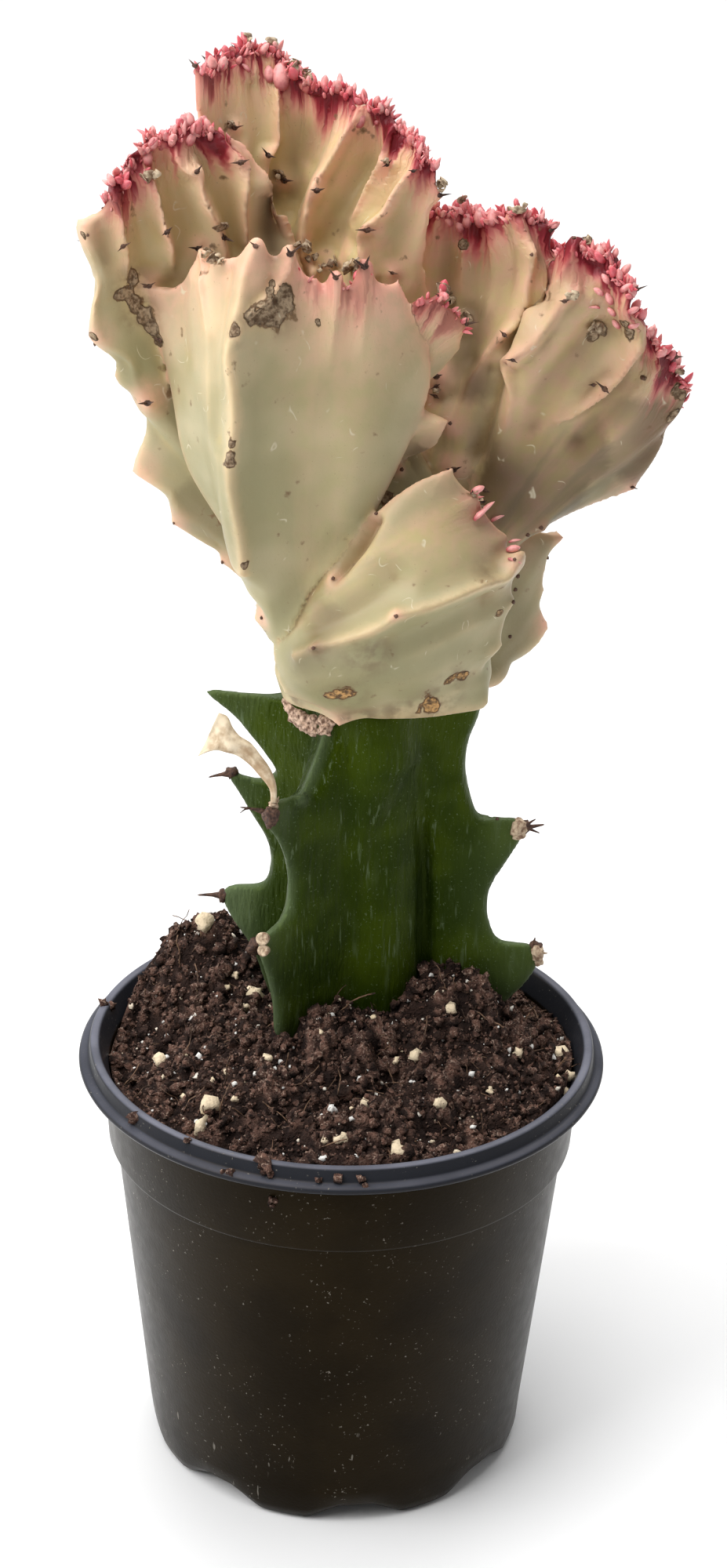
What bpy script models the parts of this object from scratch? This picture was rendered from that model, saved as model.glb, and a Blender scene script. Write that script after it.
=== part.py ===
"""Potted mermaid tail cactus: a crested scion grafted on a winged green stem, in a nursery pot.

Metres, +Z up. The origin is on the pot's axis, on the flat underside of its base. -Y is the front.
The shapes are given in millimetres and scaled by MM.
"""

import math
import random

import bmesh
import bpy
import numpy as np
from mathutils import Vector, noise
from mathutils.bvhtree import BVHTree

MM = 0.001
GAP = 0.32  # clearance between touching pieces

# Pot
POT_HEIGHT = 99.0
LIP_RADIUS = 57.0
CROWN_RADIUS = 54.6
COLLAR_RADIUS = 51.8
COLLAR_FOOT = 76.4  # height of the step under the collar
BODY_TOP_RADIUS = 49.2
BODY_FOOT_RADIUS = 42.4
BASE_RADIUS = 31.0
WALL = 1.3
FOOT_COUNT = 8
ARCH_HEIGHT = 3.4
FOOT_TURN = math.radians(-105)
DRAIN_RADIUS = 2.8
DRAIN_REACH = 35.0
POT_SIDES = 40

# Rootstock
STEM_X, STEM_Y = 5.0, 8.0
CORE_RADIUS = 12.6
GRAFT_HEIGHT = 177.8
STUB_FOOT = 64.0
STEM_CORE = [(STUB_FOOT, 7.5), (80, 10), (100, 13.2), (120, 13.2), (150, CORE_RADIUS), (178, CORE_RADIUS)]
BLADE_EDGE = 1.3  # half thickness of a wing at its edge
BLADE_FLARE = 0.17
BLEND = 9  # how sharply core and wings meet; higher is sharper
STEM_HEIGHTS = (STUB_FOOT, 78, 88, 98, 104, 107, 111, 114.5, 117, 119.5, 123, 126.5, 129, 132, 137, 142,
                146, 148.5, 151.5, 155.5, 158.5, 162, 166, 171, 175, GRAFT_HEIGHT)

# Soil
SOIL_AT_RIM = 95.5
SOIL_FLOOR = 4.2
SOIL_HEAP = 10  # how much higher the middle stands than the rim
WELL_GAP = 0.45
WELL_TOP = 135
SOIL_SIDES = 36
# Heaps and hollows of the soil: x, y, rise and spread.
SOIL_BUMPS = ((24, 2, 11, 10), (-32, 24, 9, 12), (-4, -9, 6, 9), (-18, -30, 3, 9), (36, -18, 4, 12),
              (10, -36, 4, 12), (-6, 34, 4, 14), (36, 18, -3, 10), (-42, 2, -4, 9), (0, -52, 3, 10),
              (-30, -8, 2, 8))

# Each wing of the rootstock: its bearing in degrees, then its outline as height and reach from the axis.
RIGHT_WING = (5, [(177.8, 21), (168, 20.5), (160, 19.8), (153, 21), (148.5, 23), (147.5, 31), (146, 32.8),
                  (142, 32), (137, 29), (131, 25.8), (126, 25.6), (121, 27), (118, 30), (117, 36),
                  (115, 37), (111, 36.6), (106, 33.5), (98, 26), (88, 18), (64, 10)])
BACK_WING = (75, [(177.8, 19), (168, 18), (160, 24), (157, 25.5), (152, 22), (142, 17.5), (132, 18),
                  (127, 26), (124, 27), (118, 22), (110, 19), (98, 18), (88, 14), (64, 9)])
BACK_LEFT_WING = (128, [(177.8, 18), (170, 20), (166, 25), (163, 26), (158, 21), (148, 17), (138, 18),
                        (134, 25), (131, 26), (124, 21), (112, 19), (98, 18), (88, 14), (64, 9)])
LEFT_WING = (173, [(177.8, 35), (175, 33.5), (170, 30), (164, 24), (160, 20), (158, 23), (156, 29.5),
                   (152, 28), (148, 26), (142, 22.5), (137, 21), (131, 22), (129, 30), (127, 31.5),
                   (123, 31), (118, 27.5), (112, 24), (104, 22), (90, 16), (64, 9)])
FRONT_WING = (229, [(177.8, 17.5), (168, 18.4), (163, 19), (161, 24), (158, 28.5), (155, 27.5), (151, 24),
                    (143, 21.5), (135, 22.5), (131.5, 26), (128.5, 31), (126, 31.8), (122, 29), (114, 28),
                    (106, 28), (98, 21), (88, 15), (64, 9)])
WINGS = (RIGHT_WING, BACK_WING, BACK_LEFT_WING, LEFT_WING, FRONT_WING)

# Each lobe of the crest is a set of ribs that run from its foot to its margin, in order along the margin.
FRONT_LOBE = [
    [(-12, 0, 193), (-23, 2, 212), (-33, 3, 228), (-36, 4, 242), (-41, 5, 263)],
    [(-12, -1, 194), (-22, -5, 221), (-27, -7, 236), (-30, -5, 255), (-30, -2, 272)],
    [(-12, -3, 195), (-21, -11, 215), (-23, -16, 239), (-23, -16, 255), (-19, -11, 276)],
    [(-10, -5, 198), (-16, -12, 238), (-14, -11, 260), (-13, -9, 274)],
    [(-9, -5, 199), (-8, -9, 237), (-4, -7, 269)],
    [(-6, -5, 200), (0, -8, 237), (2, -5, 270)],
    [(-3, -4, 201), (3, -4, 218), (9, -2, 230), (15, 0, 248), (8, 2, 267)],
]
LEFT_LOBE = [
    [(-11, 3, 196), (-21, 4, 202), (-25, 4, 207)],
    [(-12, 4, 198), (-26, 6, 208), (-35, 7, 214)],
    [(-13, 5, 201), (-29, 8, 216), (-44, 9, 224)],
    [(-14, 6, 204), (-30, 9, 223), (-42, 10, 237)],
    [(-14, 7, 207), (-34, 8, 231), (-51, 1, 252)],
    [(-14, 8, 209), (-37, 8, 241), (-50, 0, 262), (-53, -3, 277)],
    [(-15, 8, 212), (-33, 10, 243), (-45, 4, 266), (-46, 0, 286)],
    [(-15, 8, 215), (-26, 11, 243), (-36, 8, 266), (-40, 4, 293)],
    [(-15, 9, 218), (-22, 12, 245), (-27, 9, 273), (-33, 7, 296)],
    [(-15, 10, 221), (-16, 13, 245), (-19, 11, 269), (-22, 10, 282), (-29, 9, 294)],
    [(-14, 10, 224), (-8, 13, 253), (-12, 12, 269), (-16, 11, 281), (-25, 11, 293)],
]
TOP_LOBE = [
    [(-10, 14, 219), (-16, 15, 250), (-24, 13, 276), (-31, 11, 293), (-32, 10, 305)],
    [(-9, 15, 220), (-14, 16, 250), (-21, 17, 278), (-27, 17, 297), (-27, 18, 306)],
    [(-8, 16, 221), (-12, 18, 250), (-18, 20, 276), (-21, 22, 296), (-23, 25, 307)],
    [(-7, 16, 222), (-10, 19, 251), (-17, 22, 285), (-17, 26, 306)],
    [(-5, 16, 223), (-8, 19, 254), (-12, 22, 285), (-12, 23, 302)],
    [(-3, 16, 224), (-9, 18, 255), (-10, 18, 275), (-6, 19, 284), (-3, 19, 300)],
    [(-1, 15, 226), (-4, 17, 255), (-1, 16, 275), (6, 15, 287), (5, 16, 297)],
    [(2, 13, 227), (3, 13, 251), (3, 10, 270), (8, 9, 283), (12, 10, 292)],
    [(6, 13, 229), (15, 13, 250), (13, 9, 269), (14, 7, 278), (15, 5, 288)],
]
RIGHT_LOBE = [
    [(12, 12, 216), (15, 15, 243), (13, 18, 266), (15, 20, 277)],
    [(14, 12, 215), (19, 16, 243), (21, 18, 263), (21, 20, 277)],
    [(15, 12, 214), (23, 14, 242), (26, 16, 266), (26, 17, 277)],
    [(18, 12, 213), (24, 12, 231), (29, 9, 253), (34, 9, 267), (31, 10, 279)],
    [(19, 12, 212), (28, 12, 231), (34, 12, 254), (37, 11, 269), (36, 11, 278)],
    [(21, 12, 211), (30, 13, 231), (37, 14, 252), (40, 15, 270)],
    [(23, 12, 210), (31, 8, 236), (36, 2, 256), (41, 1, 263), (43, 4, 274)],
    [(24, 12, 209), (36, 8, 233), (45, 5, 252), (50, 1, 266), (48, 1, 273)],
    [(26, 12, 208), (39, 9, 231), (50, 7, 245), (55, 1, 257), (54, -1, 267)],
    [(27, 12, 207), (43, 10, 227), (55, 9, 239), (60, 5, 254)],
    [(29, 12, 207), (46, 12, 223), (60, 12, 235), (66, 11, 244)],
    [(29, 12, 206), (46, 13, 220), (63, 15, 231)],
    [(30, 12, 205), (40, 13, 213), (58, 16, 220)],
]
LOW_LOBE = [
    [(-10, -4, 194), (-4, -7, 207), (3, -8, 220), (12, -7, 228), (20, -5, 231)],
    [(-11, -5, 193), (0, -11, 210), (14, -10, 220), (25, -4, 225)],
    [(-11, -5, 192), (-1, -14, 204), (17, -13, 214), (31, -3, 216)],
    [(-12, -5, 190), (-6, -13, 195), (9, -17, 204), (24, -13, 208), (33, -4, 211)],
    [(-12, -5, 188), (-6, -13, 191), (10, -14, 196), (24, -9, 200), (33, -3, 203)],
    [(-12, -5, 186), (-4, -10, 186), (12, -11, 189), (31, -3, 193)],
    [(-11, -4, 182), (-2, -7, 180), (12, -7, 181), (26, -2, 184)],
]
LOW_RIGHT_LOBE = [
    [(19, 6, 178), (25, 10, 191), (31, 12, 204), (35, 14, 210)],
    [(21, 6, 178), (29, 12, 190), (36, 15, 201), (41, 18, 209)],
    [(22, 6, 178), (32, 13, 186), (40, 19, 197)],
    [(23, 6, 178), (34, 13, 183), (41, 18, 188)],
    [(24, 6, 178), (31, 10, 178), (35, 15, 182)],
]
REAR_LOBE = [
    [(-8, 10, 205), (-22, 21, 225), (-36, 27, 246)],
    [(-4, 11, 208), (-15, 26, 233), (-25, 39, 258)],
    [(2, 12, 210), (-4, 27, 237), (-8, 36, 265)],
    [(8, 12, 210), (8, 31, 237), (9, 46, 261)],
    [(14, 12, 209), (20, 27, 235), (26, 37, 263)],
    [(18, 11, 206), (31, 25, 226), (43, 37, 249)],
    [(20, 10, 203), (34, 19, 213), (50, 23, 229)],
]
KNOB_LOBE = [
    [(5, 2, 245), (9, 2, 257), (12, 1, 264)],
    [(7, 2, 244), (13, 2, 257), (17, 1, 265)],
    [(8, 2, 243), (15, 3, 253), (22, 3, 258)],
    [(8, 3, 241), (14, 5, 248), (21, 6, 253)],
    [(7, 4, 239), (13, 6, 244), (17, 8, 247)],
]
NUB_LOBE = [
    [(3, 2, 233), (10, 1, 238), (13, 1, 242)],
    [(3, 2, 231), (12, 0, 238), (19, 0, 239)],
    [(3, 3, 229), (11, 3, 233), (17, 3, 233)],
    [(4, 4, 227), (9, 5, 229), (10, 5, 229)],
]
# A lobe, its half thickness at the foot and just under the margin, and how far the margin dips between ribs.
LOBES = (
    (FRONT_LOBE, 5.0, 2.3, 0.02), (LEFT_LOBE, 4.6, 2.0, 0.03), (TOP_LOBE, 4.6, 2.2, 0.02),
    (RIGHT_LOBE, 4.8, 2.2, 0.02), (LOW_LOBE, 4.6, 2.4, 0.03), (LOW_RIGHT_LOBE, 3.4, 1.7, 0.04),
    (REAR_LOBE, 4.8, 2.1, 0.03), (KNOB_LOBE, 2.6, 1.6, 0.05), (NUB_LOBE, 3.0, 1.8, 0.05),
)
LOBE_ROWS = (0, 0.14, 0.3, 0.46, 0.62, 0.76, 0.88, 0.96, 1)
COLUMNS_PER_SPAN = 2
VALLEY_PINCH = 0.28  # how much thinner a lobe is between its ribs
THINNEST_HALF = 0.35

# The crest's base: height, centre x and y, half width and half depth of each ring.
NECK_RINGS = ((174, 7.5, 2, 19.5, 10), (179, 7, 2, 21, 11.5), (184, 7, 2, 22.5, 13), (192, 7.5, 2.5, 21, 13),
              (201, 6.5, 3, 19, 12.5), (211, 4, 5, 16.5, 11.5), (222, 2, 8, 15, 9.5), (231, 0, 10, 12, 7),
              (237, 0, 12, 7, 4))
NECK_SIDES = 26
SKIN_GRID = 0.9
CREST_TRIANGLES = 4400

# The crust at the graft: its middle and half sizes.
CALLUS_MIDDLE = (-6.5, -7, 179.2)
CALLUS_HALF = (6.8, 5.2, 3.1)

# How small pieces are set on what carries them.
SEAT_STEP = 0.15
REACH_IN = 6  # how far outside its target a small piece starts on its way in to its seat

SPINE_LENGTH = 3.2
SPINE_TURN = 2.4  # radians from one spine pair's spread to the next
SHIELD_SIZE = 0.7
# Spine pairs on the crest, each a point near the surface.
CREST_SPINES = (
    (-42, 3, 264), (-30, -3, 273), (-19, -14, 277), (-4, -6, 269), (3, -6, 271), (9, -3, 269),
    (-44, 3, 234), (-42, 4, 224), (15, -5, 244), (3, -7, 219), (-3, -7, 203), (-27, 4, 206),
    (-54, 2, 277), (-20, 5, 279), (-27, 5, 290), (-8, 13, 272), (11, 10, 283), (24, 10, 256),
    (48, 5, 240), (57, 10, 221), (20, -8, 232), (10, -21, 206), (-7, -18, 196), (40, 14, 211),
    (65, 6, 247), (19, -2, 239),
)
LEAF_BUDS = (
    (-17, 16, 305), (-1, 14, 298), (9, 12, 291), (-41, 4, 292), (-34, 4, 296), (21, 14, 279),
    (26, 13, 278), (36, 7, 280), (48, 3, 272), (56, 2, 262), (61, 5, 253), (30, -7, 218),
)
LEAF_REMAINS = ((16, 10, 280), (-10, -8, 276))
PERLITE = ((-18, -14, 110), (-28, -37, 100), (-32, -33, 100), (43, -15, 102), (44, -22, 101),
           (15, -20, 108), (8, -47, 99), (20, -9, 114))
# Woody stubs on the teeth of the rootstock: a point near the tip and its size.
STUBS = ((39, 9, 146, 1.7), (43, 11, 115, 1.8), (-27, 12, 156, 1.2), (-28, 12, 127, 1.2),
         (-16, -14, 158, 1.9), (-17, -16, 127, 2.2))
# The dried leaf's midline from stalk to tip, and its half width there.
LEAF_PATH = [(-16.3, -16.5, 159.5), (-16.5, -16, 164), (-19, -15, 168.5), (-23, -14, 172), (-27.5, -13, 175)]
LEAF_HALF_WIDTHS = (0.9, 1.0, 1.6, 2.8, 5.2)
LEAF_HALF_THICKNESS = 0.35
LEAF_CURL = 0.45

# Colours as linear red, green, blue
POT_BLACK = (0.022, 0.018, 0.015)
PEAT_BROWN = (0.06, 0.032, 0.018)
PERLITE_WHITE = (0.75, 0.7, 0.6)
STEM_GREEN = (0.028, 0.06, 0.016)
CREST_CREAM = (0.56, 0.53, 0.33)
BUD_PINK = (0.7, 0.16, 0.2)
SPINE_BROWN = (0.09, 0.045, 0.03)
CORK_BROWN = (0.35, 0.2, 0.11)
LEAF_BEIGE = (0.6, 0.45, 0.28)


def make_object(name, verts, faces, colour, roughness):
    """Adds one closed piece from points in millimetres."""
    mesh = bpy.data.meshes.new(name)
    mesh.from_pydata([tuple(MM * c for c in v) for v in verts], [], faces)
    model = bmesh.new()
    model.from_mesh(mesh)
    bmesh.ops.remove_doubles(model, verts=model.verts, dist=1e-6)
    bmesh.ops.recalc_face_normals(model, faces=model.faces)
    model.to_mesh(mesh)
    model.free()
    piece = bpy.data.objects.new(name, mesh)
    bpy.context.collection.objects.link(piece)
    finish_surface(piece, colour, roughness)
    return piece


def finish_surface(piece, colour, roughness):
    """Gives a piece its own material and smooth shading with sharp creases."""
    material = bpy.data.materials.new(piece.name)
    material.use_nodes = True
    shader = material.node_tree.nodes["Principled BSDF"]
    shader.inputs["Base Color"].default_value = (*colour, 1)
    shader.inputs["Roughness"].default_value = roughness
    shader.inputs["Metallic"].default_value = 0
    piece.data.materials.clear()
    piece.data.materials.append(material)
    piece.data.shade_smooth()
    piece.data.set_sharp_from_angle(angle=math.radians(40))


def combine(piece, others, operation):
    """Joins or cuts a piece by others and removes those."""
    for other in others:
        step = piece.modifiers.new("combine", "BOOLEAN")
        step.operation = operation
        step.object = other
        step.solver = "EXACT"
    apply_modifiers(piece)
    for other in others:
        bpy.data.objects.remove(other)


def apply_modifiers(piece):
    """Puts the modified shape into a piece's mesh, as triangles of its outer shell."""
    evaluated = piece.evaluated_get(bpy.context.evaluated_depsgraph_get())
    result = bpy.data.meshes.new_from_object(evaluated)
    piece.modifiers.clear()
    piece.data = result
    model = bmesh.new()
    model.from_mesh(result)
    bmesh.ops.remove_doubles(model, verts=model.verts, dist=1e-7)
    bmesh.ops.triangulate(model, faces=model.faces)
    keep_outer_shell(model)
    model.to_mesh(result)
    model.free()


def grow_together(piece, others):
    """Makes one closed skin over a piece and the others that cross it."""
    model = bmesh.new()
    for each in [piece, *others]:
        model.from_mesh(each.data)
    model.to_mesh(piece.data)
    model.free()
    for other in others:
        bpy.data.objects.remove(other)
    skin = piece.modifiers.new("skin", "REMESH")
    skin.mode = "VOXEL"
    skin.voxel_size = SKIN_GRID * MM
    apply_modifiers(piece)
    fewer = piece.modifiers.new("fewer", "DECIMATE")
    fewer.ratio = CREST_TRIANGLES / len(piece.data.polygons)
    apply_modifiers(piece)


def keep_outer_shell(model):
    """Deletes every shell but the largest, such as a pocket closed in between two lobes."""
    unseen = set(model.faces)
    shells = []
    while unseen:
        front = [unseen.pop()]
        shell = list(front)
        while front:
            face = front.pop()
            for edge in face.edges:
                for near in edge.link_faces:
                    if near in unseen:
                        unseen.remove(near)
                        front.append(near)
                        shell.append(near)
        shells.append(shell)
    shells.sort(key=lambda shell: sum(face.calc_area() for face in shell), reverse=True)
    for shell in shells[1:]:
        bmesh.ops.delete(model, geom=shell, context="FACES")


def through(points, fractions):
    """Points along a smooth curve through the given ones, at fractions of its length."""
    points = np.array(points, float)
    steps = np.linalg.norm(np.diff(points, axis=0), axis=1)
    knots = np.concatenate([[0], np.cumsum(steps)]) / steps.sum()
    slopes = np.gradient(points, knots, axis=0)
    found = []
    for t in fractions:
        k = min(max(int(np.searchsorted(knots, t)) - 1, 0), len(steps) - 1)
        span = knots[k + 1] - knots[k]
        w = (t - knots[k]) / span
        found.append((2 * w**3 - 3 * w**2 + 1) * points[k] + (w**3 - 2 * w**2 + w) * span * slopes[k]
                     + (3 * w**2 - 2 * w**3) * points[k + 1] + (w**3 - w**2) * span * slopes[k + 1])
    return np.array(found)


def lobe_body(ribs, foot_half, margin_half, dip):
    """One fan of the crest as a closed sheet: thick at its foot, ridged along its ribs, thin at its edges."""
    columns = (len(ribs) - 1) * COLUMNS_PER_SPAN + 1
    along = np.arange(columns) / COLUMNS_PER_SPAN
    in_span = along % 1
    valley = 4 * in_span * (1 - in_span)
    middle = np.zeros((columns, len(LOBE_ROWS), 3))
    for row, v in enumerate(LOBE_ROWS):
        line = np.array([through(rib, [v])[0] for rib in ribs])
        middle[:, row] = through(line, along / along[-1])
    root = middle[:, :1]
    middle = root + (middle - root) * (1 - dip * valley[:, None, None])
    across = np.gradient(middle, axis=0)
    upward = np.gradient(middle, axis=1)
    normal = np.cross(across, upward)
    normal /= np.linalg.norm(normal, axis=2, keepdims=True) + 1e-9
    height = np.array(LOBE_ROWS)
    side = along / along[-1]
    edge = np.sqrt(np.clip(1 - np.abs(2 * side - 1) ** 5, 0, 1))
    half = (foot_half + (margin_half - foot_half) * height[None] ** 0.8) * edge[:, None]
    half = half * (1 - VALLEY_PINCH * valley[:, None] * np.minimum(1, 2 * height[None]))
    half[:, -1] *= 0.25
    half = np.maximum(half, THINNEST_HALF)
    front = middle + normal * half[:, :, None]
    back = middle - normal * half[:, :, None]
    loop = np.concatenate([front, back[::-1]], axis=0)
    around = len(loop)
    rows = len(LOBE_ROWS)
    verts = loop.transpose(1, 0, 2).reshape(-1, 3).tolist()
    faces = []
    for row in range(rows - 1):
        for k in range(around):
            n = (k + 1) % around
            faces.append((row * around + k, row * around + n, (row + 1) * around + n, (row + 1) * around + k))
    for k in range(columns - 1):
        twin = around - 1 - k
        faces.append((k, twin, twin - 1, k + 1))
        top = (rows - 1) * around
        faces.append((top + k, top + k + 1, top + twin - 1, top + twin))
    return verts, faces


def ringed_body(rings):
    """A closed body from rings of equal count, with its first and last ring capped."""
    count = len(rings[0])
    verts = [point for ring in rings for point in ring]
    faces = []
    for r in range(len(rings) - 1):
        for k in range(count):
            n = (k + 1) % count
            faces.append((r * count + k, r * count + n, (r + 1) * count + n, (r + 1) * count + k))
    for start in (0, (len(rings) - 1) * count):
        centre = len(verts)
        verts.append(tuple(np.mean(verts[start:start + count], axis=0)))
        faces += [(start + k, start + (k + 1) % count, centre) for k in range(count)]
    return verts, faces


def make_pot():
    """The pot: flat base, scalloped foot, tapering wall, collar, rolled lip and crown."""
    outer = [(BASE_RADIUS, 0, 0), (BODY_FOOT_RADIUS - 3.2, 0, 0.9), (BODY_FOOT_RADIUS - 1.3, 0.8, 1),
             (BODY_FOOT_RADIUS - 0.4, 3.2, 0.6), (BODY_FOOT_RADIUS, 8.5, 0), (BODY_TOP_RADIUS, COLLAR_FOOT, 0),
             (COLLAR_RADIUS - 1, COLLAR_FOOT + 0.5, 0), (COLLAR_RADIUS, POT_HEIGHT - 5, 0),
             (LIP_RADIUS - 0.6, POT_HEIGHT - 4.7, 0), (LIP_RADIUS, POT_HEIGHT - 4, 0),
             (LIP_RADIUS - 0.7, POT_HEIGHT - 3.3, 0), (CROWN_RADIUS + 0.3, POT_HEIGHT - 2.8, 0),
             (CROWN_RADIUS, POT_HEIGHT - 0.5, 0), (CROWN_RADIUS - 0.7, POT_HEIGHT, 0),
             (CROWN_RADIUS - 1.6, POT_HEIGHT, 0), (CROWN_RADIUS - 2.2, POT_HEIGHT - 0.7, 0)]
    inner = [(COLLAR_RADIUS - WALL, POT_HEIGHT - 5, 0), (COLLAR_RADIUS - 1 - WALL, COLLAR_FOOT + 0.5, 0),
             (BODY_TOP_RADIUS - WALL, COLLAR_FOOT - 1, 0), (BODY_FOOT_RADIUS - WALL, 8.5, 0),
             (BODY_FOOT_RADIUS - 0.7 - WALL, 5, 0.4), (BODY_FOOT_RADIUS - 4, 2.4, 0.8), (BASE_RADIUS, 1.5, 0)]
    rings = []
    for radius, height, share in outer + inner:
        ring = []
        for k in range(POT_SIDES):
            turn = 2 * math.pi * k / POT_SIDES
            arch = 0.5 - 0.5 * math.cos(FOOT_COUNT * (turn - FOOT_TURN))
            lift = ARCH_HEIGHT * share * min(1, max(0, 1.5 * arch - 0.35))
            ring.append((radius * math.cos(turn), radius * math.sin(turn), height + lift))
        rings.append(ring)
    verts, faces = ringed_body(rings)
    pot = make_object("pot", verts, faces, POT_BLACK, 0.45)
    drains = []
    for k in range(FOOT_COUNT):
        turn = FOOT_TURN + 2 * math.pi * (k + 0.5) / FOOT_COUNT
        rings = []
        for height in (-2, 6):
            ring = []
            for s in range(8):
                around = 2 * math.pi * (s + 0.5) / 8
                ring.append((DRAIN_REACH * math.cos(turn) + DRAIN_RADIUS * math.cos(around),
                             DRAIN_REACH * math.sin(turn) + DRAIN_RADIUS * math.sin(around), height))
            rings.append(ring)
        drains.append(make_object(f"drain_{k}", *ringed_body(rings), POT_BLACK, 0.5))
    combine(pot, drains, "DIFFERENCE")
    finish_surface(pot, POT_BLACK, 0.45)
    return pot


def stem_reach(turn, height, extra=0.0):
    """Reach of the rootstock's skin from its axis at a bearing and height, grown by extra."""
    core = float(np.interp(height, *zip(*STEM_CORE))) + extra
    total = core ** BLEND
    for bearing, outline in WINGS:
        away = (turn - math.radians(bearing) + math.pi) % (2 * math.pi) - math.pi
        if abs(away) > 1.5:
            continue
        reach = float(np.interp(height, *zip(*outline[::-1]))) + extra
        blade = (BLADE_EDGE + extra + BLADE_FLARE * reach) / (BLADE_FLARE + abs(math.sin(away)))
        total += min(reach, blade) ** BLEND
    return total ** (1 / BLEND)


def stem_turns():
    """Bearings for the rings of the rootstock, closer together near each wing."""
    turns = set(range(0, 360, 18))
    for bearing, _ in WINGS:
        turns = {t for t in turns if abs((t - bearing + 180) % 360 - 180) > 16}
        for offset in (-20, -9, -4, 0, 4, 9, 20):
            turns.add((bearing + offset) % 360)
    return [math.radians(t) for t in sorted(turns)]


def stem_ring(height, extra=0.0):
    ring = []
    for turn in stem_turns():
        reach = stem_reach(turn, height, extra)
        ring.append((STEM_X + reach * math.cos(turn), STEM_Y + reach * math.sin(turn), height))
    return ring


def make_rootstock():
    """The green winged stem, from its buried foot to the flat cut of the graft."""
    return make_object("rootstock", *ringed_body([stem_ring(h) for h in STEM_HEIGHTS]), STEM_GREEN, 0.5)


def soil_height(x, y):
    """Height of the heaped soil above the underside of the pot."""
    from_axis = math.hypot(x, y)
    height = SOIL_AT_RIM + SOIL_HEAP * max(0, 1 - (from_axis / 50) ** 2)
    for bump_x, bump_y, rise, spread in SOIL_BUMPS:
        height += rise * math.exp(-((x - bump_x) ** 2 + (y - bump_y) ** 2) / (2 * spread**2))
    grain = noise.noise(Vector((x / 7, y / 7, 3.1)))
    return height + 1.4 * grain * min(1, max(0, (50 - from_axis) / 6))


def pot_inside(height):
    """Inner radius of the pot's wall at a height."""
    if height > COLLAR_FOOT:
        return float(np.interp(height, (COLLAR_FOOT, POT_HEIGHT - 5),
                               (BODY_TOP_RADIUS - WALL, COLLAR_RADIUS - WALL)))
    return float(np.interp(height, (8.5, COLLAR_FOOT), (BODY_FOOT_RADIUS - WALL, BODY_TOP_RADIUS - WALL)))


def make_soil():
    """The soil: it fills the pot, is heaped round the stem and has a well that the stem stands in."""

    def circle(radius, height):
        ring = []
        for k in range(SOIL_SIDES):
            turn = 2 * math.pi * k / SOIL_SIDES
            ring.append((radius * math.cos(turn), radius * math.sin(turn), height))
        return ring

    rings = [circle(31, SOIL_FLOOR), circle(38, 7.4), circle(pot_inside(10) - GAP, 10)]
    rings += [circle(pot_inside(h) - GAP, h) for h in (COLLAR_FOOT - 1, 91)]
    for radius in (47, 42, 36, 30, 24, 18, 12, 6):
        rings.append([(x, y, soil_height(x, y)) for x, y, _ in circle(radius, 0)])
    soil = make_object("soil", *ringed_body(rings), PEAT_BROWN, 0.95)
    heights = [STUB_FOOT - WELL_GAP, *[h for h in STEM_HEIGHTS if STUB_FOOT < h < WELL_TOP]]
    well = make_object("well", *ringed_body([stem_ring(h, WELL_GAP) for h in heights]), PEAT_BROWN, 0.9)
    combine(soil, [well], "DIFFERENCE")
    finish_surface(soil, PEAT_BROWN, 0.95)
    return soil


def make_callus():
    """Brown corky crust at the left front of the graft."""
    round_verts, faces = ball(2)
    verts = []
    for v in round_verts:
        rough = 1 + 0.16 * noise.noise(v * 2.3)
        x, y, z = [m + h * rough * c for m, h, c in zip(CALLUS_MIDDLE, CALLUS_HALF, v)]
        verts.append((x, y, max(GRAFT_HEIGHT + GAP + 0.05, z)))
    return verts, faces


def make_crest(callus):
    """The crest: all its lobes grown together, flat underneath where it was cut for the graft."""
    rings = []
    for height, x, y, half_width, half_depth in NECK_RINGS:
        ring = []
        for k in range(NECK_SIDES):
            turn = 2 * math.pi * k / NECK_SIDES
            ring.append((x + half_width * math.cos(turn), y + half_depth * math.sin(turn), height))
        rings.append(ring)
    crest = make_object("crest", *ringed_body(rings), CREST_CREAM, 0.55)
    lobes = [make_object("lobe", *lobe_body(*lobe), CREST_CREAM, 0.5) for lobe in LOBES]
    grow_together(crest, lobes)
    below = [[(x, y, z) for x, y in ((-60, -60), (80, -60), (80, 80), (-60, 80))]
             for z in (150, GRAFT_HEIGHT + GAP)]
    slab = make_object("slab", *ringed_body(below), CREST_CREAM, 0.5)
    middle = np.mean(callus[0], axis=0)
    room = [tuple(middle + (np.array(v) - middle) * 1.09 - (0, 0, 0.1)) for v in callus[0]]
    hollow = make_object("hollow", room, callus[1], CREST_CREAM, 0.5)
    combine(crest, [slab, hollow], "DIFFERENCE")
    finish_surface(crest, CREST_CREAM, 0.5)
    return crest


def surface_of(*pieces):
    """Search trees over the given pieces, for seating small ones on them."""
    graph = bpy.context.evaluated_depsgraph_get()
    return [BVHTree.FromObject(piece, graph) for piece in pieces]


def nearest(trees, point):
    """The closest surface point to a point in metres, its outward normal and its distance."""
    return min((tree.find_nearest(point) for tree in trees), key=lambda hit: hit[3])


def within(tree, point, way):
    """Whether a point lies inside a closed surface: a line from it then leaves the surface an odd number of times."""
    crossings = 0
    spot = tree.ray_cast(point, way)[0]
    while spot is not None:
        crossings += 1
        spot = tree.ray_cast(spot + way * 1e-6, way)[0]
    return crossings % 2 == 1


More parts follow.
